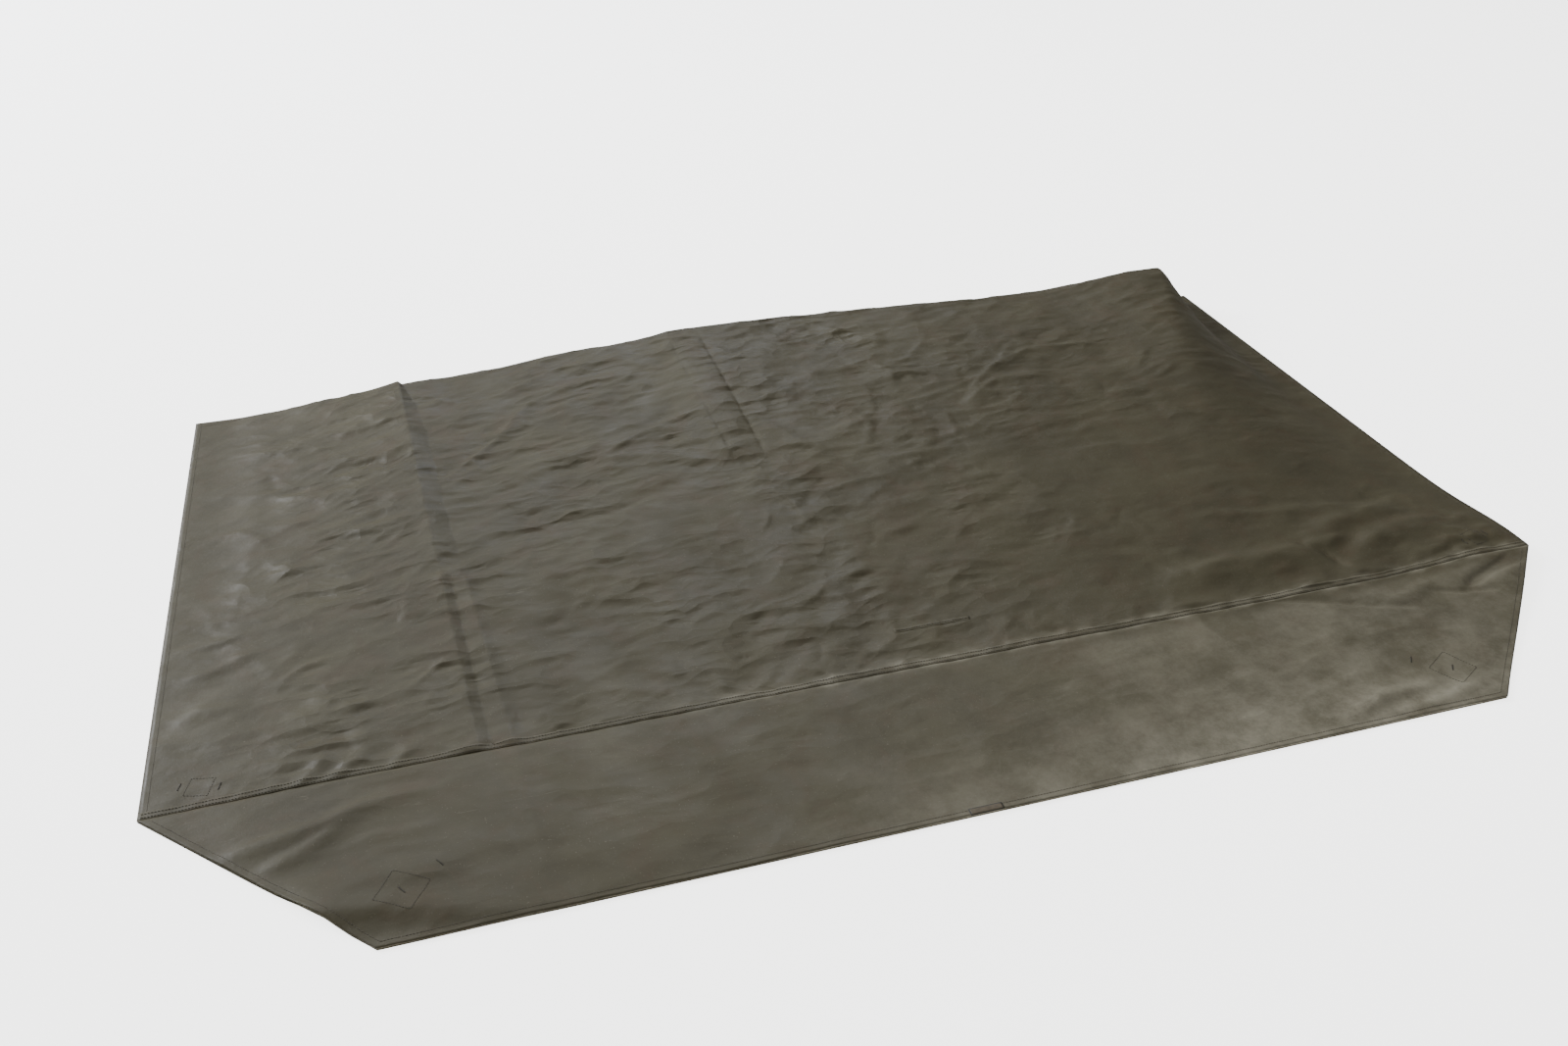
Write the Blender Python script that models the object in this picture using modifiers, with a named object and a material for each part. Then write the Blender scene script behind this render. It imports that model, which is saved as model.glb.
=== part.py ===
"""A two-person bivouac sack of coated nylon, lying flat on the ground.

Two rectangular walls lie on each other, joined along the ridge (the far edge) and both ends.
Along the fourth side, the mouth, each wall carries a skirt with 45 degree ends. In use the
skirts fold in and are sat on. The ridge stands up a little as a soft, round fold.

Frame: metres, +Z up, X along the ridge, +Y from the mouth to the ridge. The origin is on the
ground under the middle of the whole outline.
"""

import math

import bmesh
import bpy

# Driving sizes of the sack.
LENGTH = 2.400  # ridge length, end to end
WALL_DEPTH = 1.215  # skirt seam to ridge, as it lies
SKIRT_DEPTH = 0.328  # skirt seam to mouth hem
SKIRT_MITRE = 0.322  # how much shorter the hem is than the seam, at each end
MOUTH_OPENING = 0.0062  # free height of the mouth, between the lower seam's allowance and the upper wall
HEM_GAP = 0.0005  # free height between the two hems at the mouth

# Layers. The cloth itself is thinner: its solids are thick enough to touch things with.
CLOTH = 0.0012
SEAM_ALLOWANCE = 0.0008
PATCH = 0.0005
TAPE = 0.0006
LABEL = 0.0006
CLEARANCE = 0.0003

# Widths of what is sewn.
END_SEAM_WIDTH = 0.013
RIDGE_SEAM_WIDTH = 0.012
SKIRT_SEAM_WIDTH = 0.014
HEM_WIDTH = 0.012
PATCH_SIDE = 0.062
CORNER_PATCH_SIDE = 0.042
TAPE_WIDTH = 0.015
SKIRT_TAPE_LENGTH = 0.067
CORNER_TAPE_LENGTH = 0.077
LABEL_LENGTH = 0.052
LABEL_WIDTH = 0.013
MEND_LENGTH = 0.138
MEND_WIDTH = 0.009

# Places of what is sewn on, from the nearest corner of the panel.
PATCH_FROM_HEM = 0.085
PATCH_FROM_MITRE = 0.120
PATCH_TURN = math.radians(-30)
SKIRT_TAPE_TURN = math.radians(34)
CORNER_PATCH_FROM_END = 0.082
CORNER_PATCH_FROM_SEAM = 0.046
CORNER_TURN = math.radians(-16)
CORNER_DROP = 0.0006
LABEL_FROM_MIDDLE = -0.022
MEND_FROM_MIDDLE = 0.060
MEND_FROM_SEAM = 0.0945

# Shape of the upper wall: the crest of the ridge fold, as (share of the length, height).
CREST = ((0.0, 0.0), (0.06, 0.019), (0.20, 0.049), (0.38, 0.079), (0.47, 0.098), (0.58, 0.089), (0.82, 0.080),
         (0.93, 0.101), (1.0, 0.101))
FOLD_REACH = 0.035  # from the crest to the ridge, in plan
FOLD_STEPS = 4
END_RISE = 0.030  # from the end seam to the full gape
FALL_AT_RIDGE = 0.095  # length of the slope down to the right end, at the ridge
FALL_AT_MOUTH = 0.600  # and at the mouth
WALL_STEP = 0.130  # widest spacing of the upper wall's mesh lines

# Colours, linear, of the cloth, the tapes and the label.
OLIVE = (0.095, 0.088, 0.064, 1.0)
DARK_OLIVE = (0.060, 0.056, 0.040, 1.0)
TAN = (0.230, 0.160, 0.090, 1.0)

HALF = LENGTH / 2
SEAM_Y = SKIRT_DEPTH - (WALL_DEPTH + SKIRT_DEPTH) / 2
RIDGE_Y = SEAM_Y + WALL_DEPTH
MITRE_SLOPE = SKIRT_MITRE / SKIRT_DEPTH
SEWN_LAYER = CLEARANCE + SEAM_ALLOWANCE
MOUTH_GAPE = CLOTH + SEWN_LAYER + MOUTH_OPENING  # height of the upper wall's underside along the mouth
HEM_HEIGHT = CLOTH + 2 * SEWN_LAYER + HEM_GAP  # height of the upper skirt's underside along its hem
SKIRT_LEAN = math.atan2(MOUTH_GAPE - HEM_HEIGHT, SKIRT_DEPTH)
UPPER_END = CLOTH + SEWN_LAYER + CLEARANCE  # the upper wall's underside at the closed edges
GAPE_RISE = MOUTH_GAPE - UPPER_END
LAP_TOP = MOUTH_GAPE + CLOTH + SEWN_LAYER
HINGE_Z = LAP_TOP + CLEARANCE


def clear_scene():
    for old in list(bpy.data.objects):
        bpy.data.objects.remove(old, do_unlink=True)


def new_collection(name):
    collection = bpy.data.collections.new(name)
    bpy.context.scene.collection.children.link(collection)
    return collection


def new_material(name, colour, roughness):
    material = bpy.data.materials.new(name)
    material.use_nodes = True
    shader = material.node_tree.nodes["Principled BSDF"]
    shader.inputs["Base Color"].default_value = colour
    shader.inputs["Roughness"].default_value = roughness
    shader.inputs["Metallic"].default_value = 0.0
    return material


def place(obj, colour, parent=None):
    """Gives an object its own material, collection and parent."""
    obj.data.materials.append(new_material(obj.name, colour, 0.45))
    SACK.objects.link(obj)
    obj.parent = parent
    return obj


def smooth(share):
    """0 to 1 with level ends."""
    share = min(max(share, 0.0), 1.0)
    return share * share * (3 - 2 * share)


def flat_piece(name, outline, bottom, thickness, colour, parent=None):
    """A plate of one outline, which lies level at the height of its underside."""
    curve = bpy.data.curves.new(name, "CURVE")
    curve.dimensions = "2D"
    curve.fill_mode = "BOTH"
    curve.extrude = thickness / 2
    spline = curve.splines.new("POLY")
    spline.points.add(len(outline) - 1)
    for point, (x, y) in zip(spline.points, outline):
        point.co = (x, y, 0, 1)
    spline.use_cyclic_u = True
    obj = bpy.data.objects.new(name, curve)
    obj.location = (0, 0, bottom + thickness / 2)
    return place(obj, colour, parent)


def rectangle(x0, x1, y0, y1):
    return [(x0, y0), (x1, y0), (x1, y1), (x0, y1)]


def turned_rectangle(centre, size, turn):
    """A rectangle about its own centre, turned in plan."""
    cos, sin = math.cos(turn), math.sin(turn)
    corners = rectangle(-size[0] / 2, size[0] / 2, -size[1] / 2, size[1] / 2)
    return [(centre[0] + x * cos - y * sin, centre[1] + x * sin + y * cos) for x, y in corners]


def inset(outline, distance):
    """A convex outline, listed anticlockwise, drawn in by the same distance on every side."""
    sides = []
    for (x0, y0), (x1, y1) in zip(outline, outline[1:] + outline[:1]):
        length = math.hypot(x1 - x0, y1 - y0)
        normal = (-(y1 - y0) / length, (x1 - x0) / length)
        sides.append((normal, normal[0] * x0 + normal[1] * y0 + distance))
    corners = []
    for (n0, c0), (n1, c1) in zip(sides[-1:] + sides[:-1], sides):
        cross = n0[0] * n1[1] - n0[1] * n1[0]
        corners.append(((c0 * n1[1] - c1 * n0[1]) / cross, (n0[0] * c1 - n1[0] * c0) / cross))
    return corners


def mirrored(outline):
    """The same outline at the other end of the sack, still anticlockwise."""
    return [(-x, y) for x, y in reversed(outline)]


def half_length_at(depth):
    """Half the skirt's length, at a depth below its seam."""
    return HALF - depth * MITRE_SLOPE


def crest_height(x):
    """Height of the ridge fold's crest over the gape, at a distance from the left end."""
    share = x / LENGTH
    for (s0, z0), (s1, z1) in zip(CREST, CREST[1:]):
        if share <= s1:
            return z0 + (z1 - z0) * smooth((share - s0) / (s1 - s0))
    return CREST[-1][1]


def wall_rise(x, back):
    """How far the upper wall stands over its closed edges: x from the left end, back from the seam."""
    from_end = min(x, LENGTH - x) - END_SEAM_WIDTH
    share = max(back - SKIRT_SEAM_WIDTH, 0.0) / (WALL_DEPTH - FOLD_REACH - SKIRT_SEAM_WIDTH)
    share = min(share, 1.0)
    swell = 2.5 * share**1.5 - 1.5 * share**2.5
    fall = FALL_AT_RIDGE + (FALL_AT_MOUTH - FALL_AT_RIDGE) * (1 - share)
    swell *= smooth((LENGTH - END_SEAM_WIDTH - x) / fall)
    return smooth(from_end / END_RISE) * (GAPE_RISE + max(crest_height(x) - GAPE_RISE, 0.0) * swell)


def lines_through(marks, widest):
    """The marks, with evenly spaced lines between them where they lie further apart than that."""
    lines = [marks[0]]
    for start, end in zip(marks, marks[1:]):
        count = math.ceil((end - start) / widest)
        lines += [start + (end - start) * (i + 1) / count for i in range(count)]
    return lines


MEND_START = HALF + MEND_FROM_MIDDLE - MEND_LENGTH / 2
WALL_X = lines_through([0.0, END_SEAM_WIDTH, END_SEAM_WIDTH + END_RISE, MEND_START, MEND_START + MEND_LENGTH,
                        LENGTH - FALL_AT_RIDGE - END_SEAM_WIDTH - END_RISE, LENGTH - END_SEAM_WIDTH - END_RISE,
                        LENGTH - END_SEAM_WIDTH, LENGTH], WALL_STEP)
WALL_BACK = lines_through([0.0, SKIRT_SEAM_WIDTH, MEND_FROM_SEAM - MEND_WIDTH / 2, MEND_FROM_SEAM + MEND_WIDTH / 2,
                           WALL_DEPTH - FOLD_REACH], WALL_STEP)


def draped_sheet(name, rows, thickness, side, colour):
    """A sheet through rows of points, given its thickness to one side: 1 is up, -1 is down."""
    columns = len(rows[0])
    mesh = bpy.data.meshes.new(name)
    shape = bmesh.new()
    bmesh.ops.create_grid(shape, x_segments=columns - 1, y_segments=len(rows) - 1, size=0.5)
    shape.verts.ensure_lookup_table()
    for index, vert in enumerate(shape.verts):
        vert.co = rows[index // columns][index % columns]
    shape.to_mesh(mesh)
    shape.free()
    obj = bpy.data.objects.new(name, mesh)
    solidify = obj.modifiers.new("thickness", "SOLIDIFY")
    solidify.thickness = thickness
    solidify.offset = side
    return place(obj, colour)


def wall_row(back, lift, columns):
    """One row of points over the upper wall's outer face, along the sack."""
    top = UPPER_END + CLOTH + lift
    return [(x - HALF, SEAM_Y + back, top + wall_rise(x, back)) for x in columns]


def fold_row(step):
    """One row of points round the ridge fold, from the crest down to the ridge."""
    angle = math.pi / 2 * step / FOLD_STEPS
    back = WALL_DEPTH - FOLD_REACH * (1 - math.sin(angle))
    top = UPPER_END + CLOTH
    return [(x - HALF, SEAM_Y + back, top + wall_rise(x, WALL_DEPTH) * math.cos(angle)) for x in WALL_X]


def build_upper_wall():
    rows = [wall_row(back, 0.0, WALL_X) for back in WALL_BACK]
    rows += [fold_row(step + 1) for step in range(FOLD_STEPS)]
    draped_sheet("upper_wall", rows, CLOTH, -1, OLIVE)


def build_skirt_seam_lap():
    """The upper wall's folded edge, lapped and topstitched along the skirt seam."""
    rows = [wall_row(back, CLEARANCE, WALL_X) for back in (0.0, SKIRT_SEAM_WIDTH)]
    draped_sheet("upper_skirt_seam", rows, SEAM_ALLOWANCE, 1, OLIVE)


def build_mend():
    """A short stitched strip over the upper wall, near the middle of the mouth."""
    columns = [x for x in WALL_X if MEND_START - CLEARANCE < x < MEND_START + MEND_LENGTH + CLEARANCE]
    edges = (MEND_FROM_SEAM - MEND_WIDTH / 2, MEND_FROM_SEAM + MEND_WIDTH / 2)
    rows = [wall_row(back, CLEARANCE, columns) for back in edges]
    draped_sheet("mend_strip", rows, PATCH, 1, OLIVE)


def build_lower_wall():
    flat_piece("lower_wall", rectangle(-HALF, HALF, SEAM_Y + CLEARANCE / 2, RIDGE_Y), 0.0, CLOTH, OLIVE)


def build_closed_edges():
    """The turned-in seam allowances that close the two ends and the ridge."""
    bottom = CLOTH + CLEARANCE
    inner = HALF - END_SEAM_WIDTH
    near = SEAM_Y + CLEARANCE / 2
    far = RIDGE_Y - RIDGE_SEAM_WIDTH - CLEARANCE
    for name, outline in (
        ("left_end_seam", rectangle(-HALF, -inner, near, RIDGE_Y)),
        ("right_end_seam", rectangle(inner, HALF, near, RIDGE_Y)),
        ("ridge_seam", rectangle(CLEARANCE - inner, inner - CLEARANCE, far, RIDGE_Y)),
    ):
        flat_piece(name, outline, bottom, SEAM_ALLOWANCE, OLIVE)


def skirt_outlines(seam_y, first_depth):
    """Plan outlines of a skirt's cloth and its three hems, for the seam's place in Y."""
    hem_half = half_length_at(SKIRT_DEPTH)
    inner_depth = SKIRT_DEPTH - HEM_WIDTH
    across = HEM_WIDTH * math.hypot(1.0, MITRE_SLOPE)
    inner_half = half_length_at(inner_depth) - across
    start = half_length_at(first_depth)
    corner = (-hem_half, seam_y - SKIRT_DEPTH)
    inner_corner = (-inner_half, seam_y - inner_depth)
    cloth = [corner, (hem_half, seam_y - SKIRT_DEPTH), (half_length_at(CLEARANCE), seam_y - CLEARANCE / 2),
             (-half_length_at(CLEARANCE), seam_y - CLEARANCE / 2)]
    mouth = [corner, (hem_half, corner[1]), (inner_half, inner_corner[1]), inner_corner]
    mitre = [corner, inner_corner, (-start + across, seam_y - first_depth), (-start, seam_y - first_depth)]
    return cloth, inset(mouth, CLEARANCE / 2), inset(mitre, CLEARANCE / 2)


def skirt_patch_place(seam_y):
    """Middle of the left reinforcing patch on a skirt: its place is measured along X from the mitred end."""
    depth = SKIRT_DEPTH - PATCH_FROM_HEM
    return PATCH_FROM_MITRE - half_length_at(depth), seam_y - depth


def skirt_tape_outline(seam_y):
    """The tape runs from the patch's middle, away from the corner."""
    x, y = skirt_patch_place(seam_y)
    reach = SKIRT_TAPE_LENGTH / 2
    middle = (x + reach * math.cos(SKIRT_TAPE_TURN), y + reach * math.sin(SKIRT_TAPE_TURN))
    return turned_rectangle(middle, (SKIRT_TAPE_LENGTH + TAPE_WIDTH, TAPE_WIDTH), SKIRT_TAPE_TURN)


def add_patches_and_tapes(prefix, patch, tape, patch_bottom, tape_bottom, parent=None):
    """A pair of patches with their tapes, at the left end and mirrored at the right."""
    for end, turned in (("left", lambda outline: outline), ("right", mirrored)):
        flat_piece(f"{prefix}_{end}_patch", turned(patch), patch_bottom, PATCH, OLIVE, parent)
        flat_piece(f"{prefix}_{end}_tape", turned(tape), tape_bottom, TAPE, DARK_OLIVE, parent)


def build_lower_skirt():
    first = SKIRT_SEAM_WIDTH / 2 + CLEARANCE
    cloth, mouth, mitre = skirt_outlines(SEAM_Y, first)
    inside = CLOTH + CLEARANCE
    flat_piece("lower_skirt", cloth, 0.0, CLOTH, OLIVE)
    flat_piece("lower_mouth_hem", mouth, inside, SEAM_ALLOWANCE, OLIVE)
    flat_piece("lower_left_hem", mitre, inside, SEAM_ALLOWANCE, OLIVE)
    flat_piece("lower_right_hem", mirrored(mitre), inside, SEAM_ALLOWANCE, OLIVE)
    reach = HALF - END_SEAM_WIDTH - CLEARANCE
    seam = rectangle(-reach, reach, SEAM_Y - SKIRT_SEAM_WIDTH / 2, SEAM_Y + SKIRT_SEAM_WIDTH / 2)
    flat_piece("lower_skirt_seam", seam, inside, SEAM_ALLOWANCE, OLIVE)
    patch = turned_rectangle(skirt_patch_place(SEAM_Y), (PATCH_SIDE, PATCH_SIDE), PATCH_TURN)
    tape_bottom = inside + PATCH + CLEARANCE
    add_patches_and_tapes("lower_skirt", patch, skirt_tape_outline(SEAM_Y), inside, tape_bottom)


def new_hinge():
    """The line that the upper skirt turns about: along the seam, just over its lap."""
    hinge = bpy.data.objects.new("upper_skirt_hinge", None)
    hinge.location = (0, SEAM_Y, HINGE_Z)
    hinge.rotation_euler = (SKIRT_LEAN, 0, 0)
    SACK.objects.link(hinge)
    return hinge


def build_upper_skirt():
    """The upper skirt and what is sewn to it, drawn level under its hinge, which leans them."""
    hinge = new_hinge()
    cloth, mouth, mitre = skirt_outlines(0.0, HEM_WIDTH)
    under = MOUTH_GAPE - HINGE_Z
    allowance = under - SEWN_LAYER
    flat_piece("upper_skirt", cloth, under, CLOTH, OLIVE, hinge)
    flat_piece("upper_mouth_hem", mouth, allowance, SEAM_ALLOWANCE, OLIVE, hinge)
    flat_piece("upper_left_hem", mitre, allowance, SEAM_ALLOWANCE, OLIVE, hinge)
    flat_piece("upper_right_hem", mirrored(mitre), allowance, SEAM_ALLOWANCE, OLIVE, hinge)
    patch = turned_rectangle(skirt_patch_place(0.0), (PATCH_SIDE, PATCH_SIDE), PATCH_TURN)
    patch_bottom = under - CLEARANCE - PATCH
    tape_bottom = patch_bottom - CLEARANCE - TAPE
    add_patches_and_tapes("upper_skirt", patch, skirt_tape_outline(0.0), patch_bottom, tape_bottom, hinge)
    label_y = -SKIRT_DEPTH + HEM_WIDTH / 2
    label = rectangle(LABEL_FROM_MIDDLE - LABEL_LENGTH / 2, LABEL_FROM_MIDDLE + LABEL_LENGTH / 2,
                      label_y - LABEL_WIDTH / 2 + CLEARANCE, label_y + LABEL_WIDTH / 2)
    flat_piece("hem_label", label, under + CLOTH + CLEARANCE, LABEL, TAN, hinge)


def build_corner_patches():
    """Patches and tapes inside the two corners at the mouth, on the upper and the lower wall."""
    middle = (-HALF + CORNER_PATCH_FROM_END, SEAM_Y + CORNER_PATCH_FROM_SEAM)
    patch = turned_rectangle(middle, (CORNER_PATCH_SIDE, CORNER_PATCH_SIDE), CORNER_TURN)
    tape = turned_rectangle(middle, (CORNER_TAPE_LENGTH, TAPE_WIDTH), CORNER_TURN)
    inside = CLOTH + CLEARANCE
    add_patches_and_tapes("lower_corner", patch, tape, inside, inside + PATCH + CLEARANCE)
    patch_bottom = MOUTH_GAPE - CORNER_DROP - PATCH
    add_patches_and_tapes("upper_corner", patch, tape, patch_bottom, patch_bottom - CLEARANCE - TAPE)


clear_scene()
SACK = new_collection("bivouac_sack")
build_lower_wall()
build_closed_edges()
build_upper_wall()
build_skirt_seam_lap()
build_mend()
build_lower_skirt()
build_upper_skirt()
build_corner_patches()
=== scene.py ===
"""The looks of a two-person bivouac sack of coated nylon, which lies flat with its mouth to the viewer."""

import logging
import math
from collections.abc import Callable, Sequence
from dataclasses import dataclass, field, replace
from enum import Enum

import bpy
import numpy as np
from mathutils import Euler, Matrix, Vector


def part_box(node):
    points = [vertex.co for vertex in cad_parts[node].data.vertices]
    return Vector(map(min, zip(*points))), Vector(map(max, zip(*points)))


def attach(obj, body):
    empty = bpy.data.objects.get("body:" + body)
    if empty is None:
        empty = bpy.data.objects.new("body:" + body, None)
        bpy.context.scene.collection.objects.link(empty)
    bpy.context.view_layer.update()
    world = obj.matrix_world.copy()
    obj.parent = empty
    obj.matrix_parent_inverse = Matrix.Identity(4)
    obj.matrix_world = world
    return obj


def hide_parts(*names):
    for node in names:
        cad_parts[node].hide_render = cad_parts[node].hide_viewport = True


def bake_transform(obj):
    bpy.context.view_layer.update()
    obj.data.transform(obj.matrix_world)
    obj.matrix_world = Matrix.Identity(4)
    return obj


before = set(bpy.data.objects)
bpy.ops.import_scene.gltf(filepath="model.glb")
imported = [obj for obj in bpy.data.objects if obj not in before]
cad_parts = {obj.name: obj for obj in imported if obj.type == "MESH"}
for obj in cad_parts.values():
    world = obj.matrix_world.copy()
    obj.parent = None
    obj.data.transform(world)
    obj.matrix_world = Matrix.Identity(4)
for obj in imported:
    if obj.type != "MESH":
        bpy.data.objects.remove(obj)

LOG = logging.getLogger("bivouac_sack")
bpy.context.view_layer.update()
Array = np.ndarray
Point = tuple[float, float]
Path = Sequence[Point]
Colour = tuple[float, float, float, float]
Socket = bpy.types.NodeSocket


# ---------------------------------------------------------------------------------------------
# Numbers: easing, noise and folds
# ---------------------------------------------------------------------------------------------


def ease(share: Array) -> Array:
    """Eases a share of the way from 0 to 1, with level ends.

    Args:
        share: how far along, in any range; it is held between 0 and 1.

    Returns:
        The eased share.
    """
    held = np.clip(share, 0.0, 1.0)
    return held * held * (3 - 2 * held)


def noise(x: Array, y: Array, seed: int) -> Array:
    """Smooth gradient noise with cells one unit wide.

    Args:
        x: first coordinate, in cells.
        y: second coordinate, in cells.
        seed: picks one pattern out of many.

    Returns:
        Values of about -1 to 1.
    """
    cell_x, cell_y = np.floor(x).astype(np.int64), np.floor(y).astype(np.int64)

    def pull(i: Array, j: Array) -> Array:
        """What one corner of each point's cell adds.

        Args:
            i: the corner's number along x.
            j: the corner's number along y.

        Returns:
            The corner's slope times the distance from it.
        """
        mixed = (i * 374761393 + j * 668265263 + seed * 974634777) & 0xFFFFFFFF
        mixed = ((mixed ^ (mixed >> 13)) * 1274126177) & 0xFFFFFFFF
        angle = (mixed ^ (mixed >> 16)) / 0xFFFFFFFF * 2 * math.pi
        return np.cos(angle) * (x - i) + np.sin(angle) * (y - j)

    def fade(t: Array) -> Array:
        """Eases a share of the way, with no bend at either end."""
        return t * t * t * (t * (6 * t - 15) + 10)

    u, v = fade(x - cell_x), fade(y - cell_y)
    near = pull(cell_x, cell_y) * (1 - u) + pull(cell_x + 1, cell_y) * u
    far = pull(cell_x, cell_y + 1) * (1 - u) + pull(cell_x + 1, cell_y + 1) * u
    return (near * (1 - v) + far * v) * 1.5


def swells(x: Array, y: Array, seed: int, octaves: int = 3) -> Array:
    """Soft swells: noise over noise of half the size.

    Args:
        x: first coordinate, in cells.
        y: second coordinate, in cells.
        seed: picks one pattern.
        octaves: how many sizes are added.

    Returns:
        Values of about -1 to 1.
    """
    total, weight = np.zeros_like(x), 1.0
    for octave in range(octaves):
        total = total + weight * noise(x * 2**octave, y * 2**octave, seed + octave)
        weight *= 0.5
    return total / 1.6


def wrinkles(x: Array, y: Array, seed: int, sharpness: float = 1.6) -> Array:
    """A net of thin ridges that part and meet, as in cloth that was folded small.

    Args:
        x: first coordinate, in cells.
        y: second coordinate, in cells.
        seed: picks one pattern.
        sharpness: 1 for round ridges, more for thin ones.

    Returns:
        Values of about -0.5 to 1, with the ridges highest.
    """
    bent_x = x + 0.55 * noise(x * 0.5, y * 0.5, seed + 11)
    bent_y = y + 0.75 * noise(x * 0.6, y * 0.4, seed + 12)
    crest = (1 - np.abs(noise(bent_x, bent_y, seed)) * 1.7).clip(0) ** sharpness
    patchy = 0.55 + 0.45 * noise(x * 0.45, y * 0.3, seed + 13)
    return (crest - 0.4) * patchy


def beside_path(x: Array, y: Array, path: Path) -> tuple[Array, Array]:
    """Measures points against a path of straight stretches.

    Args:
        x: first coordinate of the points.
        y: second coordinate of the points.
        path: the path's own points, in order.

    Returns:
        The distance from the path, positive on its left-hand side, and the share of its length.
    """
    nearest = np.full(x.shape, np.inf)
    across, share = np.zeros_like(x), np.zeros_like(x)
    stretches = list(zip(path, path[1:]))
    whole = sum(math.dist(start, end) for start, end in stretches)
    done = 0.0
    for (x0, y0), (x1, y1) in stretches:
        length = math.dist((x0, y0), (x1, y1))
        dx, dy = (x1 - x0) / length, (y1 - y0) / length
        along = np.clip((x - x0) * dx + (y - y0) * dy, 0.0, length)
        off = np.hypot(x - x0 - along * dx, y - y0 - along * dy)
        side = np.sign(dx * (y - y0) - dy * (x - x0))
        closer = off < nearest
        nearest = np.where(closer, off, nearest)
        across = np.where(closer, side * off, across)
        share = np.where(closer, (done + along) / whole, share)
        done += length
    return across, share


class Crease(Enum):
    """How a fold is shaped across its line."""

    SOFT = "a round swell"
    CRISP = "a thin crest with hollow flanks"


@dataclass(frozen=True)
class Fold:
    """One fold of the cloth, drawn in plan: x along the sack, y from the skirt seam to the ridge."""

    path: Path
    height: float
    far: float = 0.016
    near: float = 0.016
    shape: Crease = Crease.SOFT
    fade: float = 0.35

    def relief(self, x: Array, y: Array) -> Array:
        """Height that the fold adds at points in plan.

        Args:
            x: along the sack, in metres.
            y: from the seam to the ridge, in metres.

        Returns:
            Heights in metres.
        """
        reach = 4 * max(self.far, self.near)
        xs, ys = zip(*self.path)
        inside = (x > min(xs) - reach) & (x < max(xs) + reach) & (y > min(ys) - reach) & (y < max(ys) + reach)
        result = np.zeros_like(x)
        if not inside.any():
            return result
        across, share = beside_path(x[inside], y[inside], self.path)
        scaled = np.abs(across) / np.where(across > 0, self.far, self.near)
        profile = np.exp(-(scaled**2)) if self.shape is Crease.SOFT else np.exp(-1.3 * scaled)
        result[inside] = self.height * profile * ease(share / self.fade) * ease((1 - share) / self.fade)
        return result


@dataclass(frozen=True)
class Crumple:
    """Many short creases left from handling, drawn by lot from a fixed seed.

    Each has a steep flank and a gentle one, so that the cloth between them lies in facets.
    """

    count: int
    seed: int
    region: tuple[float, float, float, float]  # least and greatest x, least and greatest y
    length: tuple[float, float]
    height: tuple[float, float]
    heading: float = 0.08  # mean direction from +X, in radians
    spread: float = 0.40

    def folds(self) -> list[Fold]:
        """Draws the creases.

        Returns:
            The creases, in the order drawn.
        """
        lot = np.random.default_rng(self.seed)
        left, right, near, far = self.region
        made = []
        for _ in range(self.count):
            x, y = lot.uniform(left, right), lot.uniform(near, far)
            angle = lot.normal(self.heading, self.spread)
            bend, stretch = lot.normal(0.0, 0.32), lot.uniform(*self.length) / 4
            path = [(x, y)]
            for _ in range(4):
                x, y = x + stretch * math.cos(angle), y + stretch * math.sin(angle)
                path.append((x, y))
                angle += bend + lot.normal(0.0, 0.15)
            steep, gentle = lot.uniform(0.006, 0.010), lot.uniform(0.014, 0.034)
            flanks = (steep, gentle) if lot.random() < 0.5 else (gentle, steep)
            sign = 1 if lot.random() < 0.68 else -0.8
            made.append(Fold(tuple(path), sign * lot.uniform(*self.height), *flanks, Crease.CRISP, 0.45))
        return made


@dataclass(frozen=True)
class Pleat:
    """Two creases side by side, where the sack was pressed flat when it was packed."""

    left: Path  # (distance from the seam, x)
    right: Path
    height: float
    split: float  # below this distance from the seam, the band has a furrow of its own
    start: float
    end: float

    def relief(self, x: Array, y: Array) -> Array:
        """Height that the pleat adds at points in plan.

        Args:
            x: along the sack, in metres.
            y: from the seam to the ridge, in metres.

        Returns:
            Heights in metres.
        """
        left, right = (np.interp(y, *zip(*line)) for line in (self.left, self.right))
        band = (x - left) / np.maximum(right - left, 0.004)
        rise = (1 + (x - left) / 0.085).clip(0) ** 1.5
        slope = np.where(band < 0, rise, (1 - band).clip(0))
        second = 0.80 * (1 - (x - right) / 0.024).clip(0) ** 1.4
        furrow = np.where(band < 0, rise, np.where(band < 0.4, 1 - band / 0.4, 0.80 * (band - 0.4) / 0.6))
        furrow = np.where(band > 1, second, furrow)
        mixed = slope + (furrow - slope) * ease((self.split - y) / 0.06)
        ripples = 0.10 * noise(x * 9, y * 42, 71) * ((band > 0) & (band < 1))
        ends = ease((y - self.start) / 0.05) * ease((self.end - y) / 0.12)
        lean = 0.66 + 0.52 * ease((y - self.split) / 0.10)
        return self.height * lean * (mixed + ripples) * ends


# ---------------------------------------------------------------------------------------------
# Finishes
# ---------------------------------------------------------------------------------------------


def linear(code: str, share: float = 1.0) -> Colour:
    """Turns an sRGB colour into the renderer's linear one.

    Args:
        code: six hexadecimal digits.
        share: how bright it is made, with 1 for the colour itself.

    Returns:
        Red, green, blue and alpha.
    """
    parts = [int(code[i : i + 2], 16) / 255 for i in (0, 2, 4)]
    red, green, blue = ((p / 12.92 if p <= 0.04045 else ((p + 0.055) / 1.055) ** 2.4) * share for p in parts)
    return red, green, blue, 1.0


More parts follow.
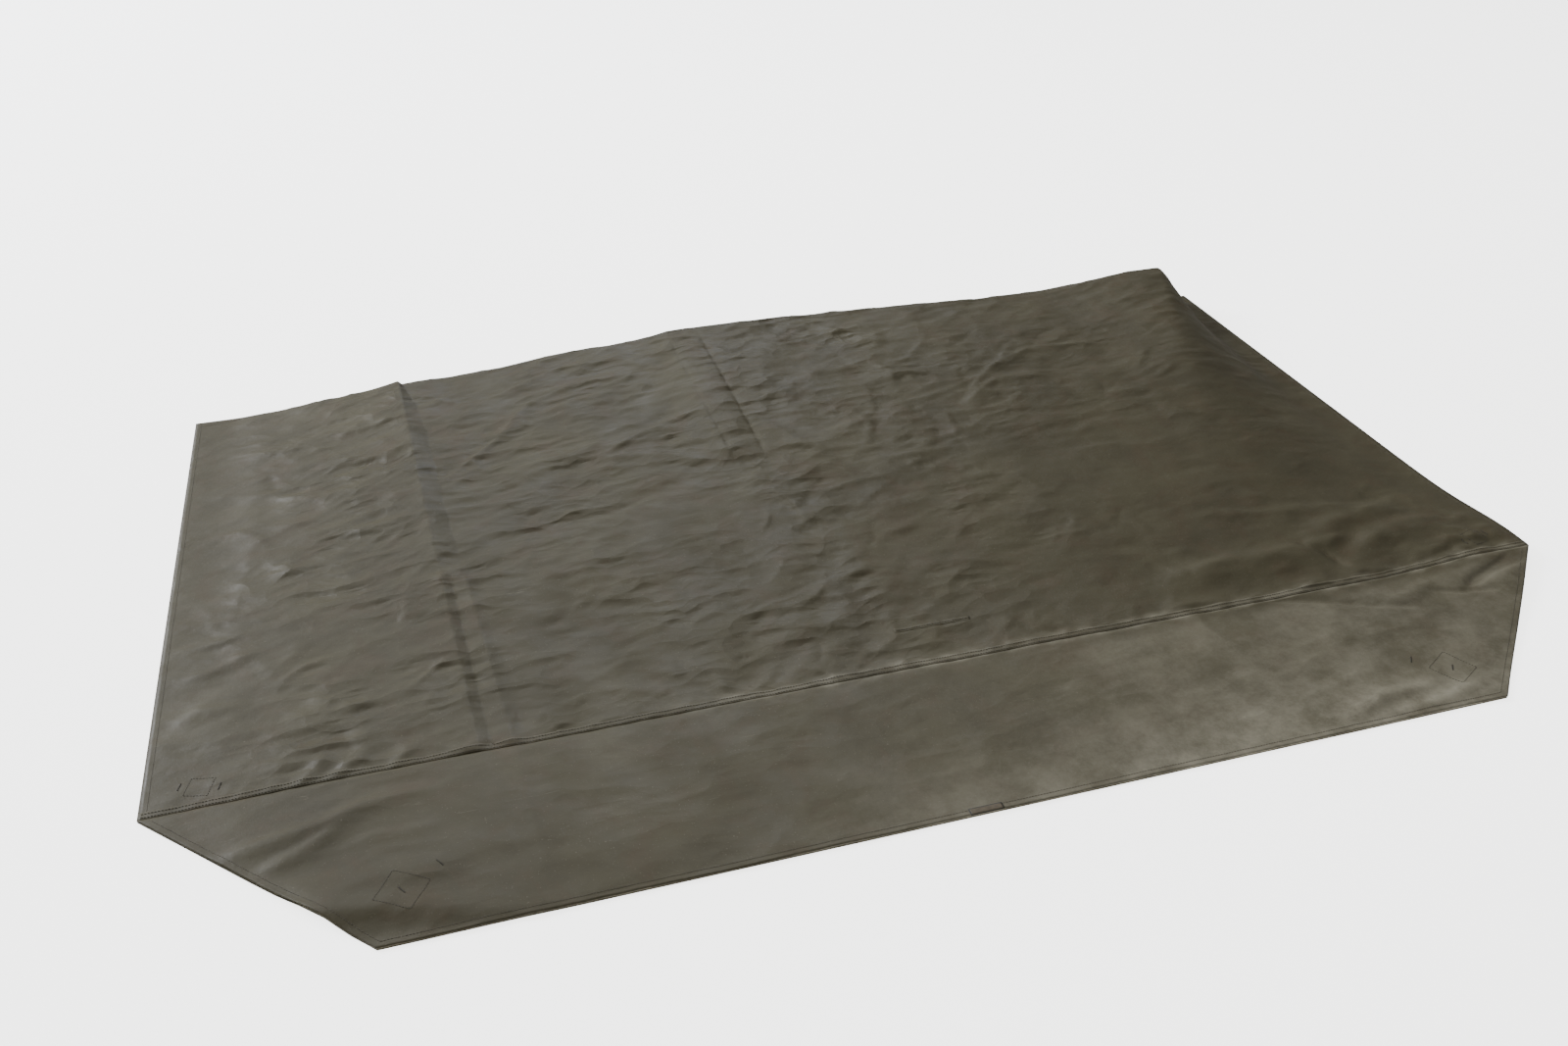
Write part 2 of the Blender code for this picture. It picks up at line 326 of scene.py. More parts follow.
class Nodes:
    """The nodes of a new material, which end in its Principled shader."""

    def __init__(self, name: str) -> None:
        """Starts the material.

        Args:
            name: the material's name.
        """
        self.material = bpy.data.materials.new(name)
        self.material.use_nodes = True
        self.shader = self.material.node_tree.nodes["Principled BSDF"]

    def plug(self, socket: Socket, value: object) -> None:
        """Links an output socket to an input, or sets the input's value.

        Args:
            socket: the input.
            value: the output socket or the value.
        """
        if isinstance(value, Socket):
            self.material.node_tree.links.new(value, socket)
        else:
            socket.default_value = value

    def add(self, kind: str, settings: dict[str, object] | None = None, out: int | str = 0,
            **inputs: object) -> Socket:
        """Adds one node, with its settings and what goes into it.

        Args:
            kind: the node's type, without the word ShaderNode.
            settings: the node's own properties.
            out: the number or the name of the output that is wanted.
            **inputs: a value or an output socket for each input, by its name or, after a letter, its number.

        Returns:
            The output socket.
        """
        node = self.material.node_tree.nodes.new("ShaderNode" + kind)
        for name, value in (settings or {}).items():
            setattr(node, name, value)
        for name, value in inputs.items():
            self.plug(node.inputs[int(name[1:]) if name[1:].isdigit() else name.replace("_", " ")], value)
        return node.outputs[out]

    def noise(self, place: Socket, scale: float, detail: float, out: int = 0, flat: bool = False,
              **more: float) -> Socket:
        """Adds a noise.

        Args:
            place: where it is read.
            scale: cells in a metre.
            detail: how many finer noises are added.
            out: 0 for its value, 1 for its colour.
            flat: whether it has two dimensions instead of three.
            **more: its other inputs.

        Returns:
            The output socket.
        """
        settings = {"noise_dimensions": "2D" if flat else "3D"}
        return self.add("TexNoise", settings, out, Vector=place, Scale=scale, Detail=detail, **more)

    def ranged(self, value: Socket, low: float, high: float, start: float = 0.0, end: float = 1.0) -> Socket:
        """The value, with low to high stretched to start to end and held there."""
        return self.add("MapRange", a0=value, a1=low, a2=high, a3=start, a4=end)

    def mix(self, share: Socket, below: Socket | Colour, above: Socket | Colour) -> Socket:
        """A mixture of two colours, with a share of the second."""
        return self.add("Mix", {"data_type": "RGBA"}, 2, a0=share, a6=below, a7=above)

    def sum(self, operation: str, first: Socket, second: Socket | float) -> Socket:
        """A sum of two numbers of any kind that the Math node has."""
        return self.add("Math", {"operation": operation}, a0=first, a1=second)

    def bump(self, height: Socket, strength: Socket | float, depth: float, normal: Socket | None = None) -> Socket:
        """A normal bent by a height, on top of one that is bent already."""
        under = {} if normal is None else {"Normal": normal}
        return self.add("Bump", Strength=strength, Distance=depth, Height=height, **under)

    def finish(self, **inputs: object) -> bpy.types.Material:
        """Plugs values and sockets into the shader, by the names of its inputs, and gives the material."""
        for name, value in inputs.items():
            self.plug(self.shader.inputs[name.replace("_", " ")], value)
        return self.material


@dataclass(frozen=True)
class CoatedNylon:
    """Thin plain-woven nylon with a rubbery coating: dull olive, with a soft sheen where it bends.

    The eye sees faint mottling from handling, dust in the hollows, dust and painted light along the hems,
    painted sheen over the left end, and short fine wrinkles that run along the sack.
    """

    name: str
    light: str = "4d4834"
    dark: str = "423d2b"
    brown: str = "4a3f2c"
    dust_and_painted_light: str = "908b79"
    roughness: float = 0.54
    # The finest wrinkles, as two nets of facets: turn in radians, cells in a metre, depth.
    facets: tuple[tuple[float, tuple[float, float, float], float], ...] = (
        (-0.30, (7.0, 19.0, 1.0), 0.0080), (0.35, (15.0, 37.0, 1.0), 0.0046))

    def build(self) -> bpy.types.Material:
        """Makes the material.

        Returns:
            The material, for pieces with UV in metres and the point attributes dust_and_painted_light and creased.
        """
        nodes = Nodes(self.name)
        place, cut = nodes.add("TexCoord", out="Object"), nodes.add("TexCoord", out="UV")
        rubbed = nodes.noise(place, 9.0, 4.0, Roughness=0.6)
        gloss = nodes.ranged(rubbed, 0.35, 0.65, self.roughness - 0.06, self.roughness + 0.08)
        return nodes.finish(Base_Color=self.colour(nodes, place), Roughness=gloss, Normal=self.grain(nodes, cut),
                            IOR=1.5, Specular_IOR_Level=0.27)

    def colour(self, nodes: Nodes, place: Socket) -> Socket:
        """Olive that varies over hand-wide patches, with brown marks, dust, painted light, scratches and pale specks.

        Args:
            nodes: the material's nodes.
            place: the point on the object, in metres.

        Returns:
            The colour.
        """
        dust_and_painted_light = linear(self.dust_and_painted_light)
        patches = nodes.ranged(nodes.noise(place, 5.0, 5.0, Roughness=0.62), 0.33, 0.67)
        body = nodes.mix(patches, linear(self.dark), linear(self.light))
        marks = nodes.noise(place, 13.0, 4.0, Roughness=0.7, Distortion=0.6)
        body = nodes.mix(nodes.ranged(marks, 0.50, 0.70, 0.0, 0.6), body, linear(self.brown))
        settled = nodes.ranged(nodes.noise(place, 8.0, 12.0, Roughness=0.80), 0.40, 0.64, 0.35, 1.0)
        # The attribute holds dust and painted light: painted sheen over the left end, and painted light on the hems'
        # shaded edges.
        amount = nodes.add("Attribute", {"attribute_name": "dust_and_painted_light"}, "Fac")
        body = nodes.mix(nodes.sum("MULTIPLY", amount, settled), body, dust_and_painted_light)
        drawn = nodes.add("Mapping", Vector=place, Scale=(9.0, 95.0, 60.0), Rotation=(0.0, 0.0, 0.5))
        scratches = nodes.noise(drawn, 1.0, 5.0, Roughness=0.75, Distortion=1.6)
        body = nodes.mix(nodes.ranged(scratches, 0.66, 0.74, 0.0, 0.28), body, dust_and_painted_light)
        flecks = nodes.noise(place, 330.0, 2.0, Roughness=0.5)
        return nodes.mix(nodes.ranged(flecks, 0.66, 0.78, 0.0, 0.26), body, dust_and_painted_light)

    def grain(self, nodes: Nodes, cut: Socket) -> Socket:
        """Wrinkles too small for the mesh, and the weave.

        The real threads are 0.25 mm apart. They are drawn 1 mm apart, so that they show close to.

        Args:
            nodes: the material's nodes.
            cut: the point on the flat cut cloth, in metres.

        Returns:
            The bent normal.
        """
        sway = nodes.noise(cut, 7.0, 3.0, 1, True)
        bent = nodes.add("VectorMath", {"operation": "MULTIPLY_ADD"}, a0=sway, a1=(0.07, 0.05, 0.0), a2=cut)
        patchy = nodes.ranged(nodes.noise(cut, 5.0, 2.0, flat=True), 0.36, 0.60, 0.25, 1.0)
        share = nodes.sum("MULTIPLY", nodes.add("Attribute", {"attribute_name": "creased"}, "Fac"), patchy)
        normal = None
        for turn, cells, depth in self.facets:
            laid = nodes.add("Mapping", Vector=bent, Scale=cells, Rotation=(0.0, 0.0, turn))
            facets = nodes.add("TexVoronoi", {"voronoi_dimensions": "2D"}, Vector=laid, Scale=1.0)
            normal = nodes.bump(facets, share, depth, normal)
        normal = nodes.bump(nodes.noise(cut, 75.0, 4.0, flat=True, Roughness=0.6), 0.35, 0.0011, normal)
        weave = nodes.add("TexWave", {"wave_profile": "SIN"}, 1, Vector=cut, Scale=160.0)
        return nodes.bump(weave, 0.05, 0.0002, normal)


@dataclass(frozen=True)
class SewingThread:
    """Polyester thread, twisted, duller than the cloth: the eye sees broken lines of small dull grains."""

    name: str
    shade: str

    def build(self) -> bpy.types.Material:
        """Makes the material, with the twist as a fine slanting bump.

        Returns:
            The material.
        """
        nodes = Nodes(self.name)
        place = nodes.add("TexCoord", out="Object")
        twist = nodes.add("TexWave", {"bands_direction": "DIAGONAL"}, 1, Vector=place, Scale=900.0)
        colour = nodes.mix(nodes.noise(place, 40.0, 2.0), linear(self.shade), linear(self.shade, 1.5))
        return nodes.finish(Base_Color=colour, Normal=nodes.bump(twist, 0.4, 0.0002), Roughness=0.75)


@dataclass(frozen=True)
class WovenTape:
    """Flat woven nylon tape: the eye sees ribs across it and a firmer, darker edge."""

    name: str
    shade: str
    edge: str
    border: float = 0.0

    def build(self) -> bpy.types.Material:
        """Makes the material, for pieces whose UV runs from 0 to 1 both ways.

        Returns:
            The material.
        """
        nodes, edge = Nodes(self.name), linear(self.edge)
        cut = nodes.add("TexCoord", out="UV")
        ribs = nodes.add("TexWave", {"bands_direction": "X"}, 1, Vector=cut, Scale=14.0, Distortion=1.2)
        worn = nodes.mix(nodes.noise(cut, 6.0, 4.0), linear(self.shade), edge)
        inwards = [nodes.sum("PINGPONG", nodes.add("SeparateXYZ", out=axis, Vector=cut), 0.5) for axis in (0, 1)]
        rim = nodes.sum("MINIMUM", nodes.sum("MULTIPLY", inwards[0], 4.0), inwards[1])
        colour = nodes.mix(nodes.ranged(rim, self.border, self.border + 0.03, 1.0, 0.0), worn, edge)
        return nodes.finish(Base_Color=colour, Normal=nodes.bump(ribs, 0.5, 0.0003), Roughness=0.62)


@dataclass(frozen=True)
class PaleBoard:
    """A painted translucent board with light behind it: the eye sees an even, matt, almost white floor."""

    name: str
    shade: str
    glow: float

    def build(self) -> bpy.types.Material:
        """Makes the material, lit from behind, with a very faint unevenness in the paint.

        Returns:
            The material.
        """
        nodes, shade = Nodes(self.name), linear(self.shade)
        paint = nodes.noise(nodes.add("TexCoord", out="Object"), 3.0, 3.0)
        return nodes.finish(Base_Color=nodes.mix(paint, linear(self.shade, 0.97), shade), Roughness=0.9,
                            Emission_Color=shade, Emission_Strength=self.glow)


# ---------------------------------------------------------------------------------------------
# Cloth and thread as meshes
# ---------------------------------------------------------------------------------------------


NEARBY = 0.012  # cloth farther off than this is another fold's
MOST_SAG = 0.003
HELD_UP = 0.0022  # an inner face that bends away goes no lower than this


def new_object(name: str, points: Array, faces: list[tuple[int, ...]],
               finish: bpy.types.Material) -> bpy.types.Object:
    """Makes a mesh object whose place is in its mesh.

    Args:
        name: the piece's name.
        points: one row per point, in metres.
        faces: point numbers of each face, anticlockwise from outside.
        finish: its material.

    Returns:
        The object, linked to the scene.
    """
    mesh = bpy.data.meshes.new(name)
    mesh.from_pydata(points.tolist(), [], faces)
    mesh.materials.append(finish)
    mesh.update()
    mesh.shade_smooth()
    obj = bpy.data.objects.new(name, mesh)
    bpy.context.scene.collection.objects.link(obj)
    return obj


def sagging(outer: Array, normal: Array, step: int) -> Array:
    """How far the cloth bends away from flat within a step of each point.

    Args:
        outer: points as (rows, columns, 3).
        normal: the face's normals at the points.
        step: how many points away it looks.

    Returns:
        Distances as (rows, columns, 1).
    """
    deepest = np.zeros(outer.shape[:2])
    for axis in (0, 1):
        for shift in range(-step, step + 1, max(1, step // 2)):
            away = ((outer - np.roll(outer, shift, axis)) * normal).sum(axis=2)
            deepest = np.maximum(deepest, np.where(np.abs(away) < NEARBY, np.abs(away), 0))
    return deepest.clip(0, MOST_SAG)[..., None]


def cloth(name: str, outer: Array, thickness: float, uv: Array, dust_and_painted_light: Array, finish: bpy.types.Material,
          step: int = 2, creased: Array | float = 0.25) -> bpy.types.Object:
    """Makes a closed sheet of cloth from a grid of points on its outer face.

    The inner face is coarser. The grid runs along +X and then along +Y, and the outer face looks up.

    Args:
        name: the piece's name.
        outer: points as (rows, columns, 3), each count one more than a multiple of the step.
        thickness: how thick the cloth is.
        uv: the same grid's places on the flat cut cloth, as (rows, columns, 2).
        dust_and_painted_light: how dusty each point is, with painted light added in places, as (rows, columns).
        finish: its material.
        step: how many outer points there are to one inner point, each way; over 2, the inner
            face is also kept clear of the outer one where the cloth bends.
        creased: how strong the finest wrinkles are at each point, or all over.

    Returns:
        The object.
    """
    rows, columns = outer.shape[:2]
    normal = np.cross(np.gradient(outer, axis=1), np.gradient(outer, axis=0))
    normal /= np.maximum(np.linalg.norm(normal, axis=2, keepdims=True), 1e-12)
    depth = thickness + (sagging(outer, normal, step) if step > 2 else 0.0)
    inner = (outer - normal * depth)[::step, ::step]
    inner[..., 2] = np.maximum(inner[..., 2], np.minimum(outer[::step, ::step, 2] - thickness, HELD_UP))
    top = np.arange(rows * columns).reshape(rows, columns)
    low = np.arange(inner.shape[0] * inner.shape[1]).reshape(inner.shape[:2]) + rows * columns

    def quads(grid: Array, turned: bool) -> list[tuple[int, ...]]:
        """Joins a grid of points into faces.

        Args:
            grid: the points' numbers.
            turned: whether the faces look down.

        Returns:
            The faces.
        """
        corners = [grid[:-1, :-1], grid[:-1, 1:], grid[1:, 1:], grid[1:, :-1]]
        stacked = np.stack([c.ravel() for c in (corners[::-1] if turned else corners)], axis=1)
        return [tuple(row) for row in stacked.tolist()]

    faces = quads(top, False) + quads(low, True)
    rims = [(top[0], low[0]), (top[:, -1], low[:, -1]), (top[-1, ::-1], low[-1, ::-1]), (top[::-1, 0], low[::-1, 0])]
    for upper, lower in rims:
        for k in range(len(lower) - 1):
            beside = upper[step * k : step * k + step + 1][::-1]
            faces.append((int(lower[k]), int(lower[k + 1]), *(int(i) for i in beside)))
    points = np.concatenate([outer.reshape(-1, 3), inner.reshape(-1, 3)])
    obj = new_object(name, points, faces, finish)
    places = np.concatenate([uv.reshape(-1, 2), uv[::step, ::step].reshape(-1, 2)]).astype(np.float32)
    loops = np.empty(len(obj.data.loops), np.int32)
    obj.data.loops.foreach_get("vertex_index", loops)
    obj.data.uv_layers.new(name="cut").data.foreach_set("uv", places[loops].ravel())
    for label, values in (("dust_and_painted_light", dust_and_painted_light), ("creased", np.broadcast_to(creased, dust_and_painted_light.shape))):
        amounts = np.concatenate([values.ravel(), values[::step, ::step].ravel()]).astype(np.float32)
        obj.data.attributes.new(label, "FLOAT", "POINT").data.foreach_set("value", amounts)
    return obj


@dataclass
class Seamstress:
    """Sews: lays short stitches of thread along paths on the cloth."""

    thread: bpy.types.Material
    pitch: float = 0.0046
    length: float = 0.0036
    diameter: float = 0.0011
    flatness: float = 0.9
    grain: tuple[Array, Array] | None = None

    def stitch(self) -> tuple[Array, Array]:
        """Models one stitch, a rounded grain of thread, and takes its mesh.

        Returns:
            Its points, one unit long and thick, and its triangles.
        """
        if self.grain is None:
            bpy.ops.object.select_all(action="DESELECT")
            bpy.ops.mesh.primitive_uv_sphere_add(segments=6, ring_count=4, radius=0.5, rotation=(0, math.pi / 2, 0))
            made = bpy.context.active_object
            bpy.ops.object.transform_apply(location=False, rotation=True, scale=False)
            bpy.ops.object.mode_set(mode="EDIT")
            bpy.ops.mesh.select_all(action="SELECT")
            bpy.ops.mesh.quads_convert_to_tris()
            bpy.ops.object.mode_set(mode="OBJECT")
            points = np.array([v.co for v in made.data.vertices], float)
            faces = np.array([p.vertices for p in made.data.polygons], int)
            bpy.data.objects.remove(made)
            self.grain = (points, faces)
        return self.grain

    def sew(self, name: str, paths: Sequence[Array]) -> bpy.types.Object:
        """Lays stitches along each path.

        Args:
            name: the piece's name.
            paths: for each, points as (count, 3) on the cloth's face.

        Returns:
            One object with every stitch.
        """
        grain, triangles = self.stitch()
        all_points, all_faces = [], []
        for path in paths:
            steps = np.linalg.norm(np.diff(path, axis=0), axis=1)
            place = np.concatenate([[0.0], np.cumsum(steps)])
            count = max(1, int(place[-1] / self.pitch))
            middles = (np.arange(count) + 0.5) * place[-1] / count
            behind, at, ahead = (np.stack([np.interp(middles + off, place, path[:, i]) for i in range(3)], axis=1)
                                 for off in (-0.001, 0.0, 0.001))
            forward = ahead - behind
            forward /= np.linalg.norm(forward, axis=1, keepdims=True)
            side = np.cross((0.0, 0.0, 1.0), forward)
            side /= np.linalg.norm(side, axis=1, keepdims=True)
            over = np.cross(forward, side)
            for middle, f, s, o in zip(at, forward, side, over):
                turned = np.outer(grain[:, 0] * self.length, f) + np.outer(grain[:, 1] * self.diameter, s)
                turned += np.outer(grain[:, 2] * self.diameter * self.flatness, o)
                all_faces.append(triangles + len(all_points) * len(grain))
                all_points.append(turned + middle + o * self.diameter * 0.12)
        faces = [tuple(row) for row in np.concatenate(all_faces).tolist()]
        return new_object(name, np.concatenate(all_points), faces, self.thread)


# ---------------------------------------------------------------------------------------------
# The sack
# ---------------------------------------------------------------------------------------------


@dataclass(frozen=True)
class Plan:
    """Where the sack lies, read from the frame, and how the ground under it and its ends bend it."""

    half: float
    seam: float
    ridge: float
    hem: float
    mitre: float
    cloth: float = 0.0007

    @classmethod
    def read(cls) -> "Plan":
        """Takes the sizes from the frame's own boxes.

        Returns:
            The plan.
        """
        (low, high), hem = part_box("lower_wall"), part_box("lower_skirt")[0].y
        # The wall's box starts 0.15 mm behind the seam, and the hem's ends 0.4 mm inside the corner.
        seam, corner = low.y - 0.00015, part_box("lower_mouth_hem")[1].x + 0.0004
        return cls(high.x, seam, high.y, hem, (high.x - corner) / (seam - hem))

    @property
    def wall(self) -> float:
        """Depth of a wall, from the skirt seam to the ridge."""
        return self.ridge - self.seam

    @property
    def skirt(self) -> float:
        """Depth of a skirt, from its seam to the hem."""
        return self.seam - self.hem

    def half_at(self, back: Array) -> Array:
        """Half the sack's length at a distance behind the seam, which is negative on the skirts."""
        return self.half + np.minimum(back, 0.0) * self.mitre

    def lay(self, x: Array, back: Array, z: Array) -> Array:
        """Puts points of any layer where they lie.

        The right end bows out and lifts a little near the mouth, and a soft fold lifts the left
        corner of both skirts.

        Args:
            x: along the sack, in metres.
            back: distance behind the seam, negative on the skirts.
            z: height over the sack's underside.

        Returns:
            The points, with one more axis for x, y and z.
        """
        x, back, z = np.broadcast_arrays(x, back, z)
        right = ease((x - 0.55) / (self.half - 0.55))
        bow = 0.005 * right * np.exp(-(((back + 0.15) / 0.16) ** 2))
        lift = 0.018 * ease((x - 0.85) / 0.35) * np.exp(-(((back - 0.04) / 0.14) ** 2))
        waver = 0.0016 * noise(x * 7, x * 0 + 0.3, 92) + 0.0007 * noise(x * 23, x * 0 + 0.3, 93)
        back = back + waver * np.exp(-((back / 0.05) ** 2)) * ease((self.half - np.abs(x)) / 0.1)
        corner = Fold(((-1.30, -0.12), (-1.00, -0.245), (-0.86, -0.265), (-0.78, -0.29), (-0.60, -0.33)), 0.011,
                      0.030, 0.024, fade=0.5)
        lift = lift + corner.relief(x, back)
        return np.stack([x + bow, self.seam + back, z + lift], axis=-1)

    def ground(self, x: Array, back: Array) -> Array:
        """Height of the lower wall's and skirt's upper face."""
        return 0.0009 + 0.0001 * swells(x * 3, back * 7, 91)

    def gape(self, x: Array) -> Array:
        """Height of the upper wall's outer face along the mouth.

        Args:
            x: along the sack, in metres.

        Returns:
            Heights over the sack's underside.
        """
        open_part = ease((self.half - np.abs(x) - 0.008) / np.where(x < 0, 0.26, 0.12))
        sway = 0.0014 * swells(x * 2.3, x * 0, 5) + 0.0006 * noise(x * 16, x * 0 + 0.5, 6)
        return 0.0036 + open_part * (0.0056 + sway)


@dataclass(frozen=True)
class DustAndPaintedSheen:
    """Where the cloth is painted paler: dust along the mouth and towards the right end, a patchy band behind the skirt
    seam, and over the left end partly dust and partly painted sheen.
    """

    plan: Plan

    def at(self, x: Array, back: Array) -> Array:
        """How dusty the cloth is.

        Args:
            x: along the sack, in metres.
            How dusty the cloth is, with painted sheen added over the left end.

        Returns:
            Shares from 0 to 1.
        """
        from_hem = (back + self.plan.skirt).clip(0)
        hem = np.exp(-from_hem / 0.09) * (0.06 + 0.74 * ease((x + 0.40) / 0.5))
        end = 0.42 * ease((x - 0.05) / 0.4) * ease(-back / 0.04)
        # Painted sheen over the left end, standing in for the far-left key light's gloss, on top of some real dust.
        left = 0.10 * ease((-0.62 - x) / 0.62) * ease((back + 0.05) / 0.3)
        mouth = 0.10 * np.exp(-np.abs(back) / 0.12) * ease((0.6 - x) / 0.5)
        # A paler, patchy band just behind the skirt seam, from x = -0.55 rightwards.
        patchy = 0.25 + 0.75 * ease(0.5 + 1.6 * noise(x * 24, back * 70, 91))
        seam = 0.85 * patchy * np.exp(-(((back - 0.006) / 0.013) ** 2)) * ease((x + 0.55) / 0.35)
        return np.clip(hem + end + left + mouth + seam, 0.0, 0.95)


@dataclass(frozen=True)
class UpperWall:
    """The upper wall: it swells from the mouth to the ridge and folds down behind it."""

    plan: Plan
    fold_reach: float = 0.035  # how far behind its flat part the ridge fold reaches
    foot: float = 0.0034  # height of its edge behind the ridge, and its least height
    base: float = 0.0059  # of the crest's heights, which the gape of the mouth makes up
    end_seam: float = 0.013
    crest: Path = ((0.0, 0.0), (0.06, 0.019), (0.20, 0.049), (0.38, 0.079), (0.47, 0.098), (0.58, 0.089),
                   (0.82, 0.080), (0.93, 0.101), (1.0, 0.101))
    pleats: tuple[Pleat, ...] = (
        Pleat(((0.0, -0.714), (0.34, -0.730), (0.67, -0.745), (1.22, -0.770)),
              ((0.0, -0.662), (0.34, -0.686), (0.62, -0.706), (0.83, -0.716), (1.05, -0.732), (1.22, -0.768)),
              0.0078, 0.47, -0.25, 1.30),
        Pleat(((0.5, -0.145), (0.93, -0.163), (1.22, -0.168)), ((0.5, -0.080), (0.82, -0.088), (1.22, -0.100)),
              0.0060, 0.0, 0.62, 1.26),
    )
    folds: tuple[Fold, ...] = (
        # The shiny folds over the mouth, near the right end.
        Fold(((0.46, 0.078), (0.56, 0.102), (0.66, 0.112), (0.77, 0.108), (0.90, 0.080)), 0.0100, 0.024, 0.040),
        Fold(((0.77, 0.118), (0.85, 0.124), (0.92, 0.126)), 0.0045, 0.010, 0.020),
        Fold(((0.78, 0.124), (0.87, 0.158), (0.93, 0.178), (1.00, 0.186), (1.10, 0.180)), 0.0085, 0.024, 0.034),
        Fold(((0.865, 0.026), (0.90, 0.080), (0.947, 0.108), (1.00, 0.120), (1.07, 0.125), (1.15, 0.117)), 0.0095,
             0.022, 0.036),
        Fold(((0.74, 0.225), (0.86, 0.228), (1.02, 0.208)), 0.0035, 0.013, 0.030),
        Fold(((0.70, 0.252), (0.75, 0.242), (0.80, 0.224)), 0.0030, 0.010, 0.020),
        Fold(((0.79, 0.136), (0.83, 0.100), (0.85, 0.040)), -0.0080, 0.012, 0.012, Crease.CRISP, 0.2),
        Fold(((0.45, 0.022), (0.53, 0.026), (0.60, 0.008)), 0.0042, 0.020, 0.008),
        Fold(((0.71, 0.008), (0.76, 0.018), (0.82, 0.008)), 0.0036, 0.018, 0.007),
        Fold(((0.80, 0.008), (0.86, 0.026), (0.95, 0.016)), 0.0042, 0.018, 0.007),
        Fold(((0.97, 0.024), (1.06, 0.046), (1.12, 0.050), (1.20, 0.040)), 0.0055, 0.024, 0.010),
        # The left end.
        Fold(((-1.03, 0.235), (-0.97, 0.278), (-0.90, 0.300)), 0.0040, 0.008, 0.010, Crease.CRISP),
        Fold(((-1.19, 0.900), (-1.03, 0.843), (-0.92, 0.767), (-0.78, 0.790)), 0.0035, 0.012, 0.016, Crease.CRISP),
        Fold(((-1.10, 0.400), (-1.08, 0.529), (-1.07, 0.633), (-1.04, 0.720)), 0.0010, 0.012, 0.012, Crease.CRISP),
        Fold(((-0.94, -0.02), (-0.91, 0.020), (-0.86, 0.065)), 0.0042, 0.013, 0.013),
        Fold(((-0.99, -0.02), (-0.96, 0.020), (-0.92, 0.075)), 0.0038, 0.013, 0.013),
        Fold(((-0.85, -0.02), (-0.83, 0.020), (-0.80, 0.055)), 0.0032, 0.011, 0.011),
        Fold(((-1.18, 0.190), (-1.13, 0.220), (-1.04, 0.208)), 0.0040, 0.012, 0.018),
        Fold(((-0.82, 0.160), (-0.77, 0.205), (-0.72, 0.240)), 0.0036, 0.010, 0.012, Crease.CRISP),
        Fold(((-1.19, 0.300), (-1.13, 0.312), (-1.03, 0.355)), 0.0040, 0.012, 0.018),
        Fold(((-1.02, 0.196), (-0.96, 0.190), (-0.89, 0.176)), 0.0032, 0.008, 0.012, Crease.CRISP),
        # The pressed lines of the second pleat, which are valleys.
        Fold(((-0.146, 0.60), (-0.163, 0.93), (-0.168, 1.17)), -0.0024, 0.006, 0.008, Crease.CRISP, 0.15),
        Fold(((-0.082, 0.60), (-0.090, 0.85), (-0.099, 1.17)), -0.0024, 0.006, 0.008, Crease.CRISP, 0.15),
        # Towards the ridge.
        Fold(((-0.74, 0.720), (-0.60, 0.855), (-0.51, 0.981), (-0.41, 1.021), (-0.20, 1.024)), 0.0052, 0.013, 0.018,
             Crease.CRISP, 0.2),
        Fold(((-0.75, 1.130), (-0.62, 1.025), (-0.42, 1.110), (-0.20, 1.110)), 0.0040, 0.012, 0.016, Crease.CRISP, 0.2),
        Fold(((-0.42, 0.720), (-0.27, 0.804), (-0.16, 0.830)), 0.0042, 0.010, 0.014, Crease.CRISP, 0.2),
        Fold(((-0.42, 0.728), (-0.29, 0.707), (-0.18, 0.640)), 0.0038, 0.010, 0.014, Crease.CRISP, 0.2),
        Fold(((-0.04, 1.085), (0.07, 1.045), (0.28, 1.100)), 0.0040, 0.012, 0.016, Crease.CRISP, 0.2),
        Fold(((0.14, 1.170), (0.26, 1.031), (0.40, 0.985)), 0.0040, 0.010, 0.014, Crease.CRISP, 0.2),
        Fold(((0.36, 0.705), (0.48, 0.795), (0.62, 0.787)), 0.0052, 0.012, 0.018, Crease.CRISP, 0.2),
        Fold(((0.38, 0.735), (0.49, 0.846), (0.62, 0.912), (0.80, 0.890)), 0.0046, 0.012, 0.018, Crease.CRISP, 0.2),
        Fold(((0.02, 0.672), (0.21, 0.662), (0.28, 0.640)), 0.0035, 0.010, 0.014, Crease.CRISP),
        Fold(((0.12, 0.950), (0.25, 0.876), (0.40, 0.828)), 0.0042, 0.010, 0.014, Crease.CRISP, 0.2),
    )
    crumples: tuple[Crumple, ...] = (
        Crumple(130, 11, (-0.68, 0.95, 0.55, 1.18), (0.10, 0.34), (0.0014, 0.0034)),
        Crumple(70, 12, (-0.66, 0.50, 0.22, 0.62), (0.06, 0.20), (0.0012, 0.0030)),
        Crumple(60, 16, (-0.66, -0.02, 0.02, 0.30), (0.08, 0.22), (0.0012, 0.0034), 0.10, 0.22),
        Crumple(26, 17, (-0.66, 0.40, 0.004, 0.06), (0.04, 0.08), (0.0010, 0.0024), 0.85, 0.25),
        Crumple(80, 13, (-1.19, -0.80, 0.05, 1.15), (0.08, 0.26), (0.0012, 0.0030), 0.12, 0.34),
        Crumple(34, 14, (0.30, 1.08, 0.20, 0.80), (0.05, 0.16), (0.0006, 0.0018), 0.2, 0.7),
        Crumple(44, 18, (0.42, 1.12, 0.02, 0.24), (0.03, 0.10), (0.0010, 0.0026), 0.15, 0.7),
        Crumple(60, 15, (-0.64, 0.55, 0.05, 1.15), (0.03, 0.09), (0.0008, 0.0018), 0.3, 0.8),
    )

